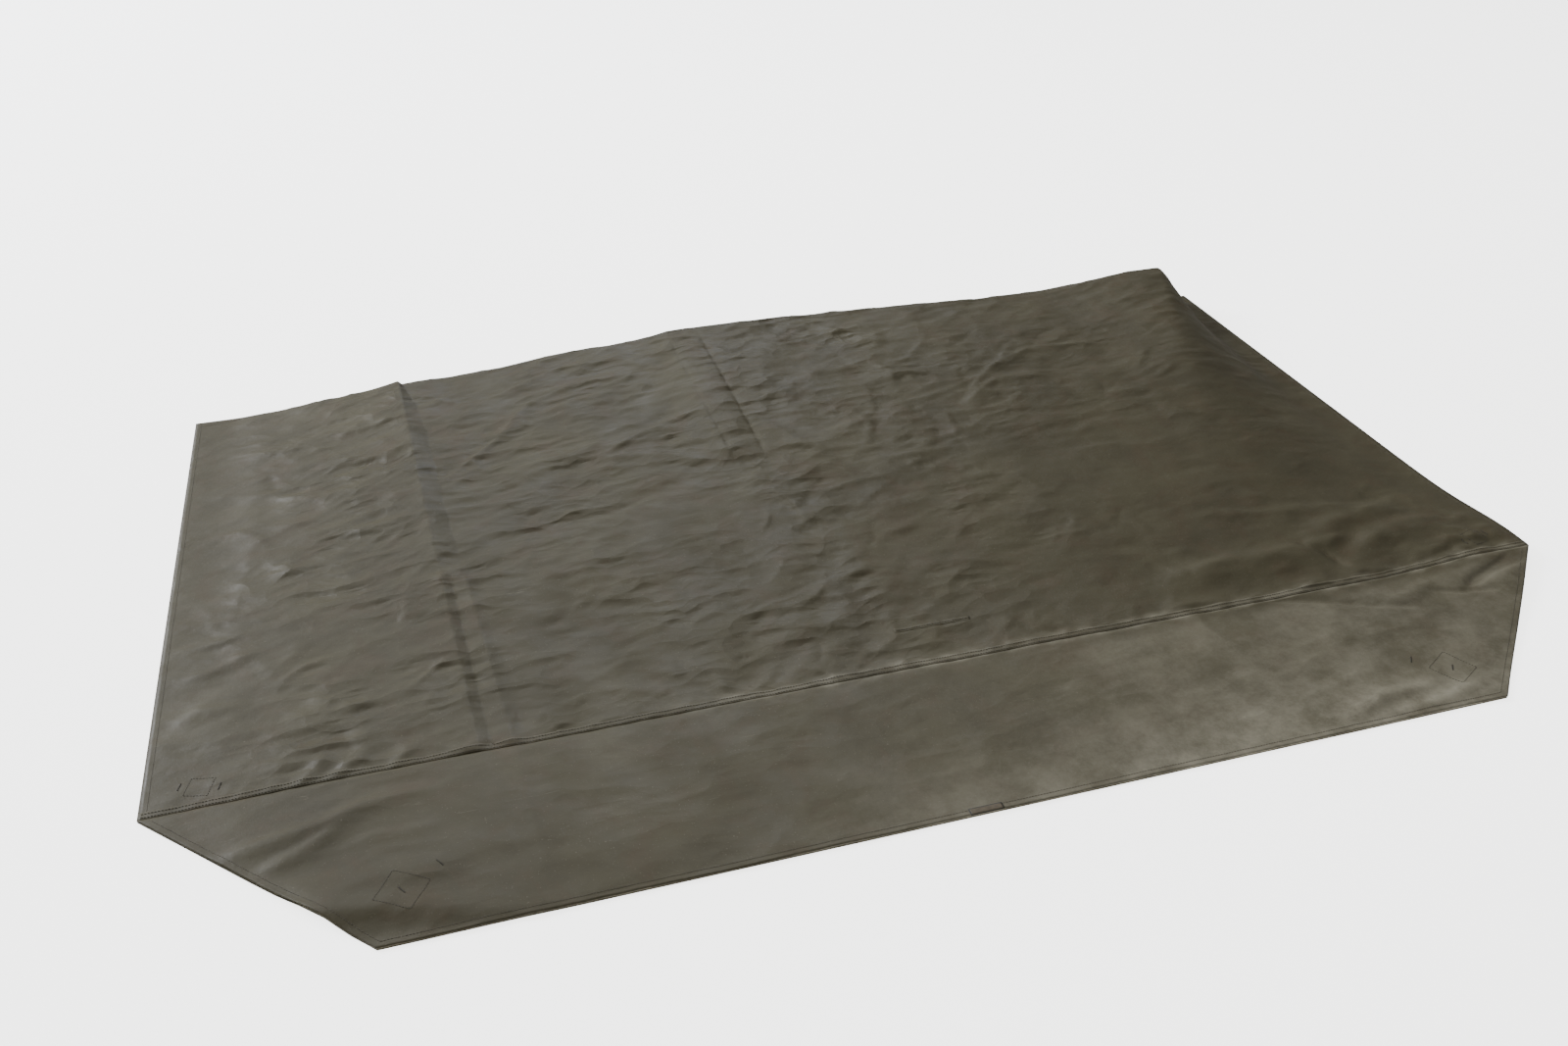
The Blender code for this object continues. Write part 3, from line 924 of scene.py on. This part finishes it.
    def rise(self, x: Array, back: Array) -> Array:
        """How far the wall swells over its closed edges, without its wrinkles.

        Args:
            x: along the sack, in metres.
            back: distance behind the seam.

        Returns:
            Heights in metres.
        """
        share = (x + self.plan.half) / (2 * self.plan.half)
        crest = np.zeros_like(share)
        for (s0, h0), (s1, h1) in zip(self.crest, self.crest[1:]):
            here = (share >= s0) & (share <= s1)
            crest = np.where(here, h0 + (h1 - h0) * ease((share - s0) / (s1 - s0)), crest)
        back_share = (back / (self.plan.wall - self.fold_reach)).clip(0, 1)
        swell = 2.5 * back_share**1.5 - 1.5 * back_share**2.5
        fall = 0.095 + 0.505 * (1 - back_share)
        inner = self.plan.half - self.end_seam
        swell = swell * ease((inner - x) / fall)
        return (crest - self.base).clip(0) * swell * ease((inner - np.abs(x)) / np.where(x < 0, 0.22, 0.10))

    def relief(self, x: Array, back: Array) -> Array:
        """Wrinkles, creases and folds.

        Args:
            x: along the sack, in metres.
            back: distance behind the seam.

        Returns:
            Heights in metres, some of them below 0.
        """
        far = ease((back - 0.35) / 0.55)
        left = ease((-0.55 - x) / 0.45)
        right = ease((x - 0.05) / 0.6)
        worn = np.clip(0.50 + 0.55 * far + 0.35 * left - 0.38 * right, 0.22, 1.1) * self.calm(x)
        total = 0.0042 * swells(x * 2.1, back * 4.6, 21) * (0.5 + 0.8 * far) * self.calm(x)
        total += 0.0042 * worn * wrinkles(x * 4.6, back * 13.0 - x * 1.6, 31)
        total += 0.0030 * worn * wrinkles(x * 8.5, back * 26.0 + x * 1.5, 41, 1.9)
        total += 0.0016 * worn * wrinkles(x * 13.0 + back * 5, back * 40.0 - x * 9, 51, 1.8)
        near_mouth = np.exp(-back / 0.030)
        gathers = noise((x - 0.6 * back) * 30, back * 9, 61) + 0.6 * noise((x - 0.4 * back) * 55, back * 14, 62)
        total += near_mouth * gathers * (0.0010 + 0.0009 * ease((x - 0.35) / 0.5) + 0.0006 * left)
        bunch = np.exp(-(np.hypot(x - 1.10, back - 0.03) / 0.13) ** 2)
        total += 0.0035 * bunch * (noise(x * 22 + back * 10, back * 30, 63) + 0.5 * noise(x * 45, back * 60, 64))
        pressed = 1 - 0.80 * np.exp(-(((x + 0.122) / 0.082) ** 4)) * ease((back - 0.52) / 0.2)
        total *= pressed
        for fold in self.folds:
            total += fold.relief(x, back) * (1 + 0.22 * noise(x * 14, back * 34, 66))
        for crumple in self.crumples:
            for fold in crumple.folds():
                total += fold.relief(x, back) * pressed
        for pleat in self.pleats:
            total += pleat.relief(x, back)
        return total

    def calm(self, x: Array) -> Array:
        """Less than 1 near the left end, which is stretched flat."""
        return 0.34 + 0.66 * ease((x + self.plan.half - 0.04) / 0.32)

    def creased(self, x: Array, back: Array) -> Array:
        """How much of the finest wrinkling there is: most at the left and towards the ridge.

        Args:
            x: along the sack, in metres.
            back: distance behind the seam.

        Returns:
            Shares from 0 to 1.
        """
        far = ease((back - 0.30) / 0.55)
        left = ease((-0.50 - x) / 0.40)
        right = ease((x - 0.05) / 0.50)
        return np.clip(0.66 + 0.34 * far + 0.20 * left - 0.48 * right, 0.14, 1.0) * self.calm(x)

    def edge_share(self, x: Array) -> Array:
        """0 where the ends are sewn down, 1 beyond."""
        return ease((self.plan.half - np.abs(x) - 0.002) / 0.030)

    def top(self, x: Array, back: Array) -> Array:
        """Height of the outer face, up to the ridge fold.

        Args:
            x: along the sack, in metres.
            back: distance behind the seam.

        Returns:
            Heights over the sack's underside.
        """
        sewn = 0.35 + 0.65 * ease(back / 0.012)
        in_from_end = self.plan.half - np.abs(x)
        pucker = 0.0009 * noise(x * 18, back * 31, 65) * ease(in_from_end / 0.006) * np.exp(-in_from_end / 0.030)
        height = self.plan.gape(x) + self.rise(x, back) + self.relief(x, back) * self.edge_share(x) * sewn + pucker
        return np.maximum(height, self.foot)

    def build(self, finish: bpy.types.Material) -> bpy.types.Object:
        """Makes the wall as one sheet, which folds down at the ridge.

        Args:
            finish: the cloth's material.

        Returns:
            The piece.
        """
        plan, foot = self.plan, self.foot
        flat_end = plan.wall - self.fold_reach
        backs = np.concatenate([np.linspace(0, 0.03, 9)[:-1], np.linspace(0.03, flat_end - 0.04, 191)[:-1],
                                np.linspace(flat_end - 0.04, flat_end, 9)])
        even = np.linspace(-plan.half, plan.half, 2401)
        crowd = 1 + 1.3 * (np.abs(even + 0.715) < 0.075) + 1.1 * (np.abs(even + 0.125) < 0.055)
        crowd = np.concatenate([[0.0], np.cumsum((crowd[1:] + crowd[:-1]) / 2)])
        x = np.interp(np.linspace(0, crowd[-1], 401), crowd, even)
        xs, bs = np.meshgrid(x, backs)
        flat = plan.lay(xs, bs, self.top(xs, bs))
        turns = np.linspace(0, math.pi / 2, 23)[1:]
        xt, angles = np.meshgrid(x, turns)
        crown = (plan.gape(x) + self.rise(x, np.full_like(x, flat_end)))[None, :]
        behind = flat_end + (crown - foot) * angles / (math.pi / 2)
        bumps = self.relief(xt, behind) * self.edge_share(xt) * (np.cos(angles) * 0.6 + 0.4) * (1 - ease(angles - 1.2))
        out = flat_end + self.fold_reach * np.sin(angles) + bumps * np.sin(angles) * 0.5
        up = foot + (crown - foot) * np.cos(angles) + bumps * np.cos(angles)
        rolled = plan.lay(xt, np.minimum(out, plan.wall + 0.006), up)
        outer = np.concatenate([flat, rolled])
        arc = np.concatenate([[0], np.cumsum(np.linalg.norm(np.diff(outer[:, 200], axis=0), axis=1))])
        uv = np.stack(np.broadcast_arrays(x[None, :], arc[:, None]), axis=-1)
        all_x, all_b = np.concatenate([xs, xt]), np.concatenate([bs, np.full_like(xt, plan.wall)])
        return cloth("upper_wall_cloth", outer, plan.cloth, uv, DustAndPaintedSheen(plan).at(all_x, all_b), finish, 4,
                     self.creased(all_x, all_b))


@dataclass(frozen=True)
class Skirt:
    """A skirt: the strip below a wall, with mitred ends. The upper one has folds of its own."""

    plan: Plan
    upper: bool
    folds: tuple[Fold, ...] = (
        Fold(((-1.12, -0.115), (-0.99, -0.094), (-0.94, -0.085), (-0.89, -0.066), (-0.76, -0.055)), 0.0060, 0.012,
             0.024),
        Fold(((-1.05, -0.165), (-0.97, -0.130), (-0.90, -0.090)), 0.0040, 0.010, 0.018),
        Fold(((-0.91, -0.125), (-0.84, -0.133), (-0.76, -0.130)), 0.0022, 0.010, 0.016),
        Fold(((-1.06, -0.185), (-0.93, -0.212), (-0.80, -0.207), (-0.68, -0.165)), 0.0048, 0.024, 0.028),
        Fold(((0.62, 0.012), (0.76, -0.036), (0.83, -0.070), (0.93, -0.100)), -0.0045, 0.010, 0.008, fade=0.25),
        Fold(((0.99, -0.075), (1.08, -0.043), (1.22, -0.008)), -0.0080, 0.013, 0.010, fade=0.25),
        Fold(((0.92, -0.052), (0.99, -0.077), (1.08, -0.092)), -0.0034, 0.007, 0.006, fade=0.3),
        Fold(((0.58, -0.300), (0.70, -0.272), (0.83, -0.270)), 0.0050, 0.016, 0.016),
        Fold(((0.66, -0.330), (0.78, -0.305), (0.92, -0.270)), 0.0040, 0.014, 0.014),
        Fold(((0.80, -0.085), (0.90, -0.060), (0.98, -0.030)), 0.0040, 0.014, 0.018),
    )
    pressed: tuple[Path, ...] = (
        ((-0.712, 0.02), (-0.690, -0.175), (-0.684, -0.23)), ((-0.660, 0.02), (-0.650, -0.205), (-0.645, -0.27)),
        ((0.510, 0.02), (0.509, -0.03), (0.53, -0.13)))
    least: float = 0.0037  # height of the upper skirt's underside, clear of the lower one's patches and tapes

    def top(self, x: Array, back: Array) -> Array:
        """Height of the skirt's upper face.

        Args:
            x: along the sack, in metres.
            back: distance behind the seam, which is negative here.

        Returns:
            Heights over the sack's underside.
        """
        depth_share = (-back / self.plan.skirt).clip(0, 1)
        if not self.upper:
            return self.plan.ground(x, back)
        root = self.plan.gape(x) + 0.0007 - 0.0006 * np.exp(-((back / 0.0022) ** 2))
        ends = ease((self.plan.half_at(back) - np.abs(x)) / 0.03)
        hem = ease((back + self.plan.skirt) / 0.02)
        calm = 0.35 + 0.65 * np.minimum(ends, hem)
        total = root + (0.0045 - root) * ease(depth_share)
        total = total + 0.0026 * swells(x * 2.6, back * 6.0, 81) * ease(-back / 0.03) * calm
        total = total + 0.0013 * wrinkles(x * 5.0 - back * 2.5, back * 18, 82) * calm * ease(-back / 0.02)
        total = total + 0.0009 * noise(x * 26, back * 12, 83) * np.exp(-(back + self.plan.skirt) / 0.022)
        for fold in self.folds:
            total = total + fold.relief(x, back) * ease(-(back - 0.003) / 0.012) * calm
        for line in self.pressed:
            total = total + Fold(line, 0.0016, 0.009, 0.022, Crease.CRISP, 0.15).relief(x, back)
        return np.maximum(total, self.least + self.plan.cloth)

    def build(self, finish: bpy.types.Material) -> bpy.types.Object:
        """Makes the skirt as one sheet, up to the seam where it meets the wall.

        Args:
            finish: the cloth's material.

        Returns:
            The piece.
        """
        plan = self.plan
        columns, rows = (481, 81) if self.upper else (121, 21)
        backs = np.linspace(-plan.skirt, -0.0004, rows)
        share = np.linspace(-1, 1, columns)
        xs = share[None, :] * plan.half_at(backs)[:, None]
        bs = np.broadcast_to(backs[:, None], xs.shape)
        wave = 0.0016 * noise(xs * 6, bs * 0, 86) * ease((bs + plan.skirt) / -0.04 + 1)
        outer = plan.lay(xs, bs, self.top(xs, bs))
        outer[..., 1] += wave if self.upper else 0
        uv = np.stack([xs, bs], axis=-1)
        name = "upper_skirt_cloth" if self.upper else "lower_skirt_cloth"
        return cloth(name, outer, plan.cloth, uv, DustAndPaintedSheen(plan).at(xs, bs), finish)


@dataclass(frozen=True)
class Finishes:
    """Every material of the sack."""

    cloth: bpy.types.Material
    thread: bpy.types.Material
    tack_thread: bpy.types.Material
    tape: bpy.types.Material
    label: bpy.types.Material

    @classmethod
    def build(cls) -> "Finishes":
        """Makes the materials.

        Returns:
            The materials.
        """
        finishes = (CoatedNylon("coated_plain_weave_nylon"), SewingThread("polyester_sewing_thread", "4a4538"),
                    SewingThread("polyester_tack_thread", "3c382e"), WovenTape("woven_nylon_tape", "55524a", "44423b"),
                    WovenTape("woven_label_tape", "74674d", "26241e", 0.10))
        return cls(*(finish.build() for finish in finishes))


@dataclass(frozen=True)
class Strip:
    """A straight strip, which lies on the left-hand side of a line in plan."""

    node: str  # the frame's node that it replaces
    start: Point
    end: Point
    width: float
    lift: float  # of its upper face over the layer that it is sewn to
    thickness: float
    finish: bpy.types.Material
    name: str = ""  # if empty, the node's name with _cloth after it
    slot: str = "coated_nylon"
    welt: float = 0.0  # how much its middle stands prouder than its edges
    across: int = 5  # points across it, odd
    pitch: float = 0.006  # between points along it
    cut: Point = (0.0, 0.0)  # how far its second side is cut back at its start and end, as on a mitre
    worn: float = 0.0  # dust and wear held in its edges, from 0 to 1; on the hems it also paints light over their shaded front edges

    @classmethod
    def turned(cls, node: str, middle: Point, sides: Point, turn: float, *rest: object, **more: object) -> "Strip":
        """A strip about its middle.

        Args:
            node: the frame's node that it replaces.
            middle: its middle, in plan.
            sides: its length and its width.
            turn: its angle from the +X direction, anticlockwise, in degrees.
            *rest: its lift, thickness and finish.
            **more: its other fields.

        Returns:
            The strip.
        """
        (length, width), c, s = sides, math.cos(math.radians(turn)), math.sin(math.radians(turn))
        start = (middle[0] - c * length / 2 + s * width / 2, middle[1] - s * length / 2 - c * width / 2)
        return cls(node, start, (start[0] + c * length, start[1] + s * length), width, *rest, across=9, **more)


@dataclass
class Layer:
    """One face of the cloth that other pieces are sewn to, above it or below it."""

    plan: Plan
    top: Callable[[Array, Array], Array]
    pieces: list[bpy.types.Object] = field(default_factory=list)

    def place(self, x: Array, back: Array, lift: Array | float = 0.0) -> Array:
        """Points over this face."""
        return self.plan.lay(x, back, self.top(x, back) + lift)

    def path(self, corners: Path, lift: float = 0.0) -> Array:
        """A run of points over this face, 4 mm apart, along straight stretches.

        Args:
            corners: the stretches' ends in plan.
            lift: how far over the face.

        Returns:
            The points as (count, 3).
        """
        runs = []
        for (x0, y0), (x1, y1) in zip(corners, corners[1:]):
            share = np.linspace(0, 1, max(2, int(math.dist((x0, y0), (x1, y1)) / 0.004)))
            runs.append(self.place(x0 + (x1 - x0) * share, y0 + (y1 - y0) * share, lift))
        return np.concatenate(runs)

    def sew_on(self, strip: Strip) -> None:
        """Makes a strip over this face, in the place of its node.

        Args:
            strip: its shape and its finish.
        """
        (x0, y0), (x1, y1) = strip.start, strip.end
        length = math.dist(strip.start, strip.end)
        dx, dy = (x1 - x0) / length, (y1 - y0) / length
        pairs = max(2, int(length / strip.pitch / 2))
        u, v = np.meshgrid(np.linspace(0, 1, 2 * pairs + 1), np.linspace(0, 1, strip.across))
        along = v * strip.cut[0] + u * (length - v * (strip.cut[0] + strip.cut[1]))
        x, back = x0 + dx * along - dy * v * strip.width, y0 + dy * along + dx * v * strip.width
        to_edge = np.abs(2 * v - 1)
        outer = self.place(x, back, strip.lift + strip.welt * (1 - to_edge**5))
        uv = np.stack([x, back] if strip.slot == "coated_nylon" else [u, v], axis=-1)
        # The map's dust and painted sheen, plus the strip's worn edges, which on the hems also paint light over their
        # shaded fronts.
        dust_and_painted_light = (DustAndPaintedSheen(self.plan).at(x, back) * 0.6 + strip.worn * (0.4 + 0.6 * to_edge)).clip(0, 1)
        made = cloth(strip.name or f"{strip.node}_cloth", outer, strip.thickness, uv, dust_and_painted_light, strip.finish)
        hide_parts(strip.node)
        self.pieces.append(made)


class Face(Enum):
    """Which face of a layer the reinforcements are sewn to, with their upper faces' places over it."""

    ABOVE = (0.0006, 0.0013)  # the patch's and the tape's
    BELOW = (-0.0008, -0.0014)


@dataclass(frozen=True)
class Reinforcement:
    """A stitched patch and the tape tacked across it, for a peg or a cord."""

    x: float
    back: float
    patch_side: float
    patch_turn: float
    tape_length: float
    tape_turn: float
    tape_from_patch: float  # from the patch's middle to the tape's middle, along the tape
    tacks_at: Point  # from the patch's middle, along the tape
    tape_width: float = 0.015

    def pair(self) -> dict[str, "Reinforcement"]:
        """This one at the left and its mirror image at the right."""
        return {"left": self,
                "right": replace(self, x=-self.x, patch_turn=-self.patch_turn, tape_turn=180 - self.tape_turn)}

    def turned(self, across: float, along: float, turn: float) -> Point:
        """A point beside the patch's middle, in plan."""
        c, s = math.cos(math.radians(turn)), math.sin(math.radians(turn))
        return self.x + along * c - across * s, self.back + along * s + across * c

    def build(self, layer: Layer, side: Face, prefix: str, finishes: Finishes) -> None:
        """Makes the patch and the tape under or over a layer.

        Args:
            layer: the face that they are sewn to.
            side: above or below it.
            prefix: what their names start with.
            finishes: the materials.
        """
        patch_lift, tape_lift = side.value
        layer.sew_on(Strip.turned(f"{prefix}_patch", (self.x, self.back), (self.patch_side, self.patch_side),
                                  self.patch_turn, patch_lift, 0.0005, finishes.cloth))
        middle = self.turned(0.0, self.tape_from_patch, self.tape_turn)
        layer.sew_on(Strip.turned(f"{prefix}_tape", middle, (self.tape_length, self.tape_width), self.tape_turn,
                                  tape_lift, 0.0006, finishes.tape, name=f"{prefix}_woven_tape", slot="nylon_tape"))

    def outline(self, layer: Layer) -> Array:
        """The stitched square, 3 mm inside the patch's edge.

        Args:
            layer: the face that it shows on.

        Returns:
            Its points.
        """
        reach = self.patch_side / 2 - 0.003
        square = ((-1, -1), (1, -1), (1, 1), (-1, 1), (-1, -1))
        return layer.path([self.turned(b * reach, a * reach, self.patch_turn) for a, b in square])

    def tacks(self, layer: Layer) -> list[Array]:
        """The two dense bars of stitches across the tape."""
        reach = self.tape_width / 2
        return [layer.path([self.turned(b, a, self.tape_turn) for b in (-reach, reach)]) for a in self.tacks_at]

    def stitches(self, layer: Layer, prefix: str, thread: bpy.types.Material) -> list[bpy.types.Object]:
        """Sews the outlines and the tacks at both sides of the sack.

        Args:
            layer: the face that the stitches show on.
            prefix: what their names start with.
            thread: their material.

        Returns:
            The outlines and the tacks.
        """
        ties = self.pair().values()
        outliner, tacker = Seamstress(thread), Seamstress(thread, 0.0008, 0.0011, 0.0026, 0.35)
        return [outliner.sew(f"{prefix}_patch_stitches", [tie.outline(layer) for tie in ties]),
                tacker.sew(f"{prefix}_tacks", [row for tie in ties for row in tie.tacks(layer)])]


SKIRT_TIE = Reinforcement(-0.8415, -0.243, 0.062, -30.0, 0.080, 34.0, 0.0335, (0.0, 0.064))
CORNER_TIE = Reinforcement(-1.118, 0.046, 0.042, -16.0, 0.077, -16.0, 0.0, (-0.030, 0.030))


@dataclass
class Walls:
    """The two walls, sewn along the ridge and the ends: all that stays still."""

    plan: Plan
    finishes: Finishes
    seam_width: float = 0.0145
    end_width: float = 0.013
    row_in: float = 0.012  # of the stitches along the ends
    closed_top: float = 0.0028  # of the seams that close the sack
    seam_rows: Point = (0.0035, 0.0108)  # of stitches, behind the seam
    spare: float = 0.11  # depth of cloth that the puffed ridge takes up

    def build(self) -> list[bpy.types.Object]:
        """Makes the walls and every piece sewn to them.

        Returns:
            The pieces.
        """
        plan, olive, shape = self.plan, self.finishes.cloth, UpperWall(self.plan)
        upper, lower = shape.build(olive), self.lower_wall(olive)
        for sheet, node in ((upper, "upper_wall"), (lower, "lower_wall")):
            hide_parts(node)
        above, lining = Layer(plan, shape.top), Layer(plan, plan.ground)
        closed = Layer(plan, lambda x, back: np.full(np.broadcast(x, back).shape, self.closed_top))
        half, inner, wall, fold = plan.half, plan.half - self.end_width, plan.wall, plan.wall - 0.0125
        for node, start, end in (("left_end_seam", (-inner, 0.0), (-inner, wall)),
                                 ("right_end_seam", (half, 0.0), (half, wall)),
                                 ("ridge_seam", (-inner, fold), (inner, fold))):
            closed.sew_on(Strip(node, start, end, self.end_width - 0.0005, 0.0, 0.0014, olive, pitch=0.012))
        lining.sew_on(Strip("lower_skirt_seam", (-inner, -0.007), (inner, -0.007), 0.014, 0.0009, 0.0007, olive,
                            pitch=0.012))
        above.sew_on(Strip("upper_skirt_seam", (-half + 0.0004, 0.0002), (half - 0.0004, 0.0002), self.seam_width,
                           0.0001, 0.0005, olive, welt=0.0006, across=9, pitch=0.005, worn=0.12))
        above.sew_on(Strip("mend_strip", (-0.010, 0.0905), (0.128, 0.0905), 0.009, 0.0001, 0.0005, olive,
                           welt=0.0004, across=9, pitch=0.004, worn=0.10))
        for side, tie in CORNER_TIE.pair().items():
            tie.build(above, Face.BELOW, f"upper_corner_{side}", self.finishes)
            tie.build(lining, Face.ABOVE, f"lower_corner_{side}", self.finishes)
        above.pieces += self.stitches(above)
        pieces = [upper, lower, *above.pieces, *closed.pieces, *lining.pieces]
        for piece in pieces:
            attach(piece, "sack")
        return pieces

    def lower_wall(self, finish: bpy.types.Material) -> bpy.types.Object:
        """Makes the wall that lies on the ground.

        Args:
            finish: the cloth's material.

        Returns:
            The piece.
        """
        plan = self.plan
        x, back = np.meshgrid(np.linspace(-plan.half, plan.half, 161), np.linspace(0.0002, plan.wall, 81))
        outer = plan.lay(x, back, plan.ground(x, back))
        return cloth("lower_wall_cloth", outer, plan.cloth, np.stack([x, back], axis=-1), x * 0.0, finish)

    def stitches(self, above: Layer) -> list[bpy.types.Object]:
        """Sews the seam, the ends, the mend and the corner patches.

        Args:
            above: the upper wall's face.

        Returns:
            The rows of stitches.
        """
        half, wall, row = self.plan.half, self.plan.wall, self.plan.half - self.row_in
        seamstress = Seamstress(self.finishes.thread)
        rows = {
            "skirt_seam": [above.path([(0.004 - half, back), (half - 0.004, back)], 0.0010)
                           for back in self.seam_rows],
            "end_seam": [above.path([(x, 0.016), (x, wall - 0.006)]) for x in (-row, row)],
            "mend": [above.path([(-0.009, 0.0950), (0.127, 0.0950)], 0.0010)],
        }
        return [*(seamstress.sew(f"{name}_stitches", paths) for name, paths in rows.items()),
                *CORNER_TIE.stitches(above, "corner", self.finishes.tack_thread)]


@dataclass
class Skirts:
    """The two skirts round the mouth, both made lying flat; the real upper one folds back over the wall."""

    plan: Plan
    finishes: Finishes
    hem: float = 0.012
    hem_in: float = 0.0005  # from the cloth's edge
    row_in: float = 0.0105  # of the stitches along the hem
    bend: float = 0.030  # how much of the upper skirt bends, from the seam
    label_ends: Point = (-0.048, 0.004)

    def build(self) -> list[bpy.types.Object]:
        """Makes both skirts with their hems, patches, tapes, label and stitches.

        Returns:
            The pieces.
        """
        plan = self.plan
        low, high = Skirt(plan, False), Skirt(plan, True)
        lower, upper = low.build(self.finishes.cloth), high.build(self.finishes.cloth)
        under, over = Layer(plan, low.top), Layer(plan, high.top)
        for layer, sheet, side, name in ((under, lower, Face.ABOVE, "lower"), (over, upper, Face.BELOW, "upper")):
            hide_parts(f"{name}_skirt")
            self.hems(layer, side, name)
            for hand, tie in SKIRT_TIE.pair().items():
                tie.build(layer, side, f"{name}_skirt_{hand}", self.finishes)
        start, end = ((x, -plan.skirt - 0.0002) for x in self.label_ends)
        over.sew_on(Strip("hem_label", start, end, 0.0128, 0.0009, 0.0007, self.finishes.label, "hem_label_tape",
                          "label_tape", welt=0.0003, pitch=0.003))
        row = over.path(self.edge(self.row_in, 0.006))
        over.pieces += [Seamstress(self.finishes.thread).sew("hem_stitches", [row]),
                        *SKIRT_TIE.stitches(over, "skirt", self.finishes.tack_thread)]
        wide, depth = 2 * plan.half, plan.skirt
        area = depth * (wide + 2 * float(plan.half_at(-depth))) / 2
        for piece in (lower, *under.pieces):
            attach(piece, "sack")
        for piece in (upper, *over.pieces):
            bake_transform(piece)
        return [lower, upper, *under.pieces, *over.pieces]

    def edge(self, inset: float, near_seam: float) -> list[Point]:
        """The hemmed edge in plan, from the left end round the mouth to the right end.

        Args:
            inset: how far it is set in.
            near_seam: how far from the seam it starts and ends.

        Returns:
            The points where it starts, turns and ends.
        """
        slope = inset * math.hypot(1.0, self.plan.mitre)
        corner, start = ((self.plan.half + back * self.plan.mitre - slope, back)
                         for back in (inset - self.plan.skirt, -near_seam))
        return [(-start[0], start[1]), (-corner[0], corner[1]), corner, start]

    def hems(self, layer: Layer, side: Face, name: str) -> None:
        """Makes the three hems of one skirt.

        Args:
            layer: the skirt's face.
            side: above or below it.
            name: what their names start with.
        """
        lift = 0.0009 if side is Face.ABOVE else -0.0008
        points = self.edge(self.hem_in, 0.0075)
        mitre, square = self.hem * math.tan(math.radians(22.5)), -self.hem * 0.9
        for part, start, end, cut in zip(("left", "mouth", "right"), points, points[1:],
                                         ((square, mitre), (mitre, mitre), (mitre, square))):
            # worn=0.6: real wear on the hem edges, plus painted light that lifts the shade on their front faces.
            layer.sew_on(Strip(f"{name}_{part}_hem", start, end, self.hem, lift, 0.0007, self.finishes.cloth,
                               cut=cut, worn=0.6))


# ---------------------------------------------------------------------------------------------
# The studio
# ---------------------------------------------------------------------------------------------


@dataclass(frozen=True)
class Softbox:
    """A square studio light."""

    name: str
    at: tuple[float, float, float]
    aim: tuple[float, float, float]
    side: float
    power: float
    shade: str = "ffffff"

    def build(self) -> None:
        """Hangs the light and turns it to what it lights."""
        lamp = bpy.data.lights.new(self.name, "AREA")
        lamp.shape, lamp.size, lamp.energy = "SQUARE", self.side, self.power
        lamp.color = linear(self.shade)[:3]
        hung = bpy.data.objects.new(self.name, lamp)
        hung.location = self.at
        hung.rotation_euler = (Vector(self.aim) - Vector(self.at)).to_track_quat("-Z", "Y").to_euler()
        bpy.context.scene.collection.objects.link(hung)


@dataclass(frozen=True)
class Studio:
    """A pale floor, soft light and the camera."""

    stand: tuple[float, float, float] = (-0.6946, -2.0148, 1.4163)
    tilt: float = 56.583
    turn: float = -16.373
    lens: float = 30.72
    floor_side: float = 24.0
    floor_drop: float = 0.0002  # below the sack's underside
    floor_glow: float = 3.4
    wall_light: float = 0.26
    lights: tuple[Softbox, ...] = (
        Softbox("key_far_left", (-7.4, 6.4, 5.2), (0.1, 0.0, 0.0), 4.0, 1520.0, "f4f7ff"),
        Softbox("overhead_back", (0.4, 2.6, 4.4), (0.2, 0.0, 0.0), 1.9, 84.0, "fffcf4"),
        Softbox("sky_far", (0.6, 7.4, 4.4), (0.1, 0.2, 0.0), 4.2, 165.0, "dde8ff"),
    )

    def build(self) -> None:
        """Sets up the studio."""
        camera = bpy.data.cameras.new("camera")
        camera.lens, camera.sensor_width, camera.dof.use_dof = self.lens, 36.0, False
        stood = bpy.data.objects.new("camera", camera)
        stood.location = self.stand
        stood.rotation_euler = Euler((math.radians(self.tilt), 0.0, math.radians(self.turn)))
        bpy.context.scene.collection.objects.link(stood)
        bpy.context.scene.camera = stood
        for light in self.lights:
            light.build()
        world = bpy.data.worlds.new("studio_walls")
        world.use_nodes = True
        background = world.node_tree.nodes["Background"].inputs
        background["Color"].default_value, background["Strength"].default_value = linear("f7f8fa"), self.wall_light
        bpy.context.scene.world = world
        bpy.ops.object.select_all(action="DESELECT")
        bpy.ops.mesh.primitive_plane_add(size=self.floor_side, location=(0, 0, -self.floor_drop))
        floor = bpy.context.active_object
        floor.name = "studio_floor"
        bpy.ops.object.mode_set(mode="EDIT")
        bpy.ops.mesh.subdivide(number_cuts=7)
        bpy.ops.object.mode_set(mode="OBJECT")
        floor.data.materials.append(PaleBoard("painted_board", "f4f4f2", self.floor_glow).build())
        floor.visible_glossy = False  # its glow would be mirrored on the steep ends


def main() -> None:
    """Builds the sack and the studio, and reports each piece."""
    logging.basicConfig(level=logging.INFO, format="%(name)s: %(message)s")
    Studio().build()
    plan = Plan.read()
    finishes = Finishes.build()
    for piece in Walls(plan, finishes).build() + Skirts(plan, finishes).build():
        LOG.info("%s: %d faces", piece.name, len(piece.data.polygons))


if __name__ == "__main__":
    main()
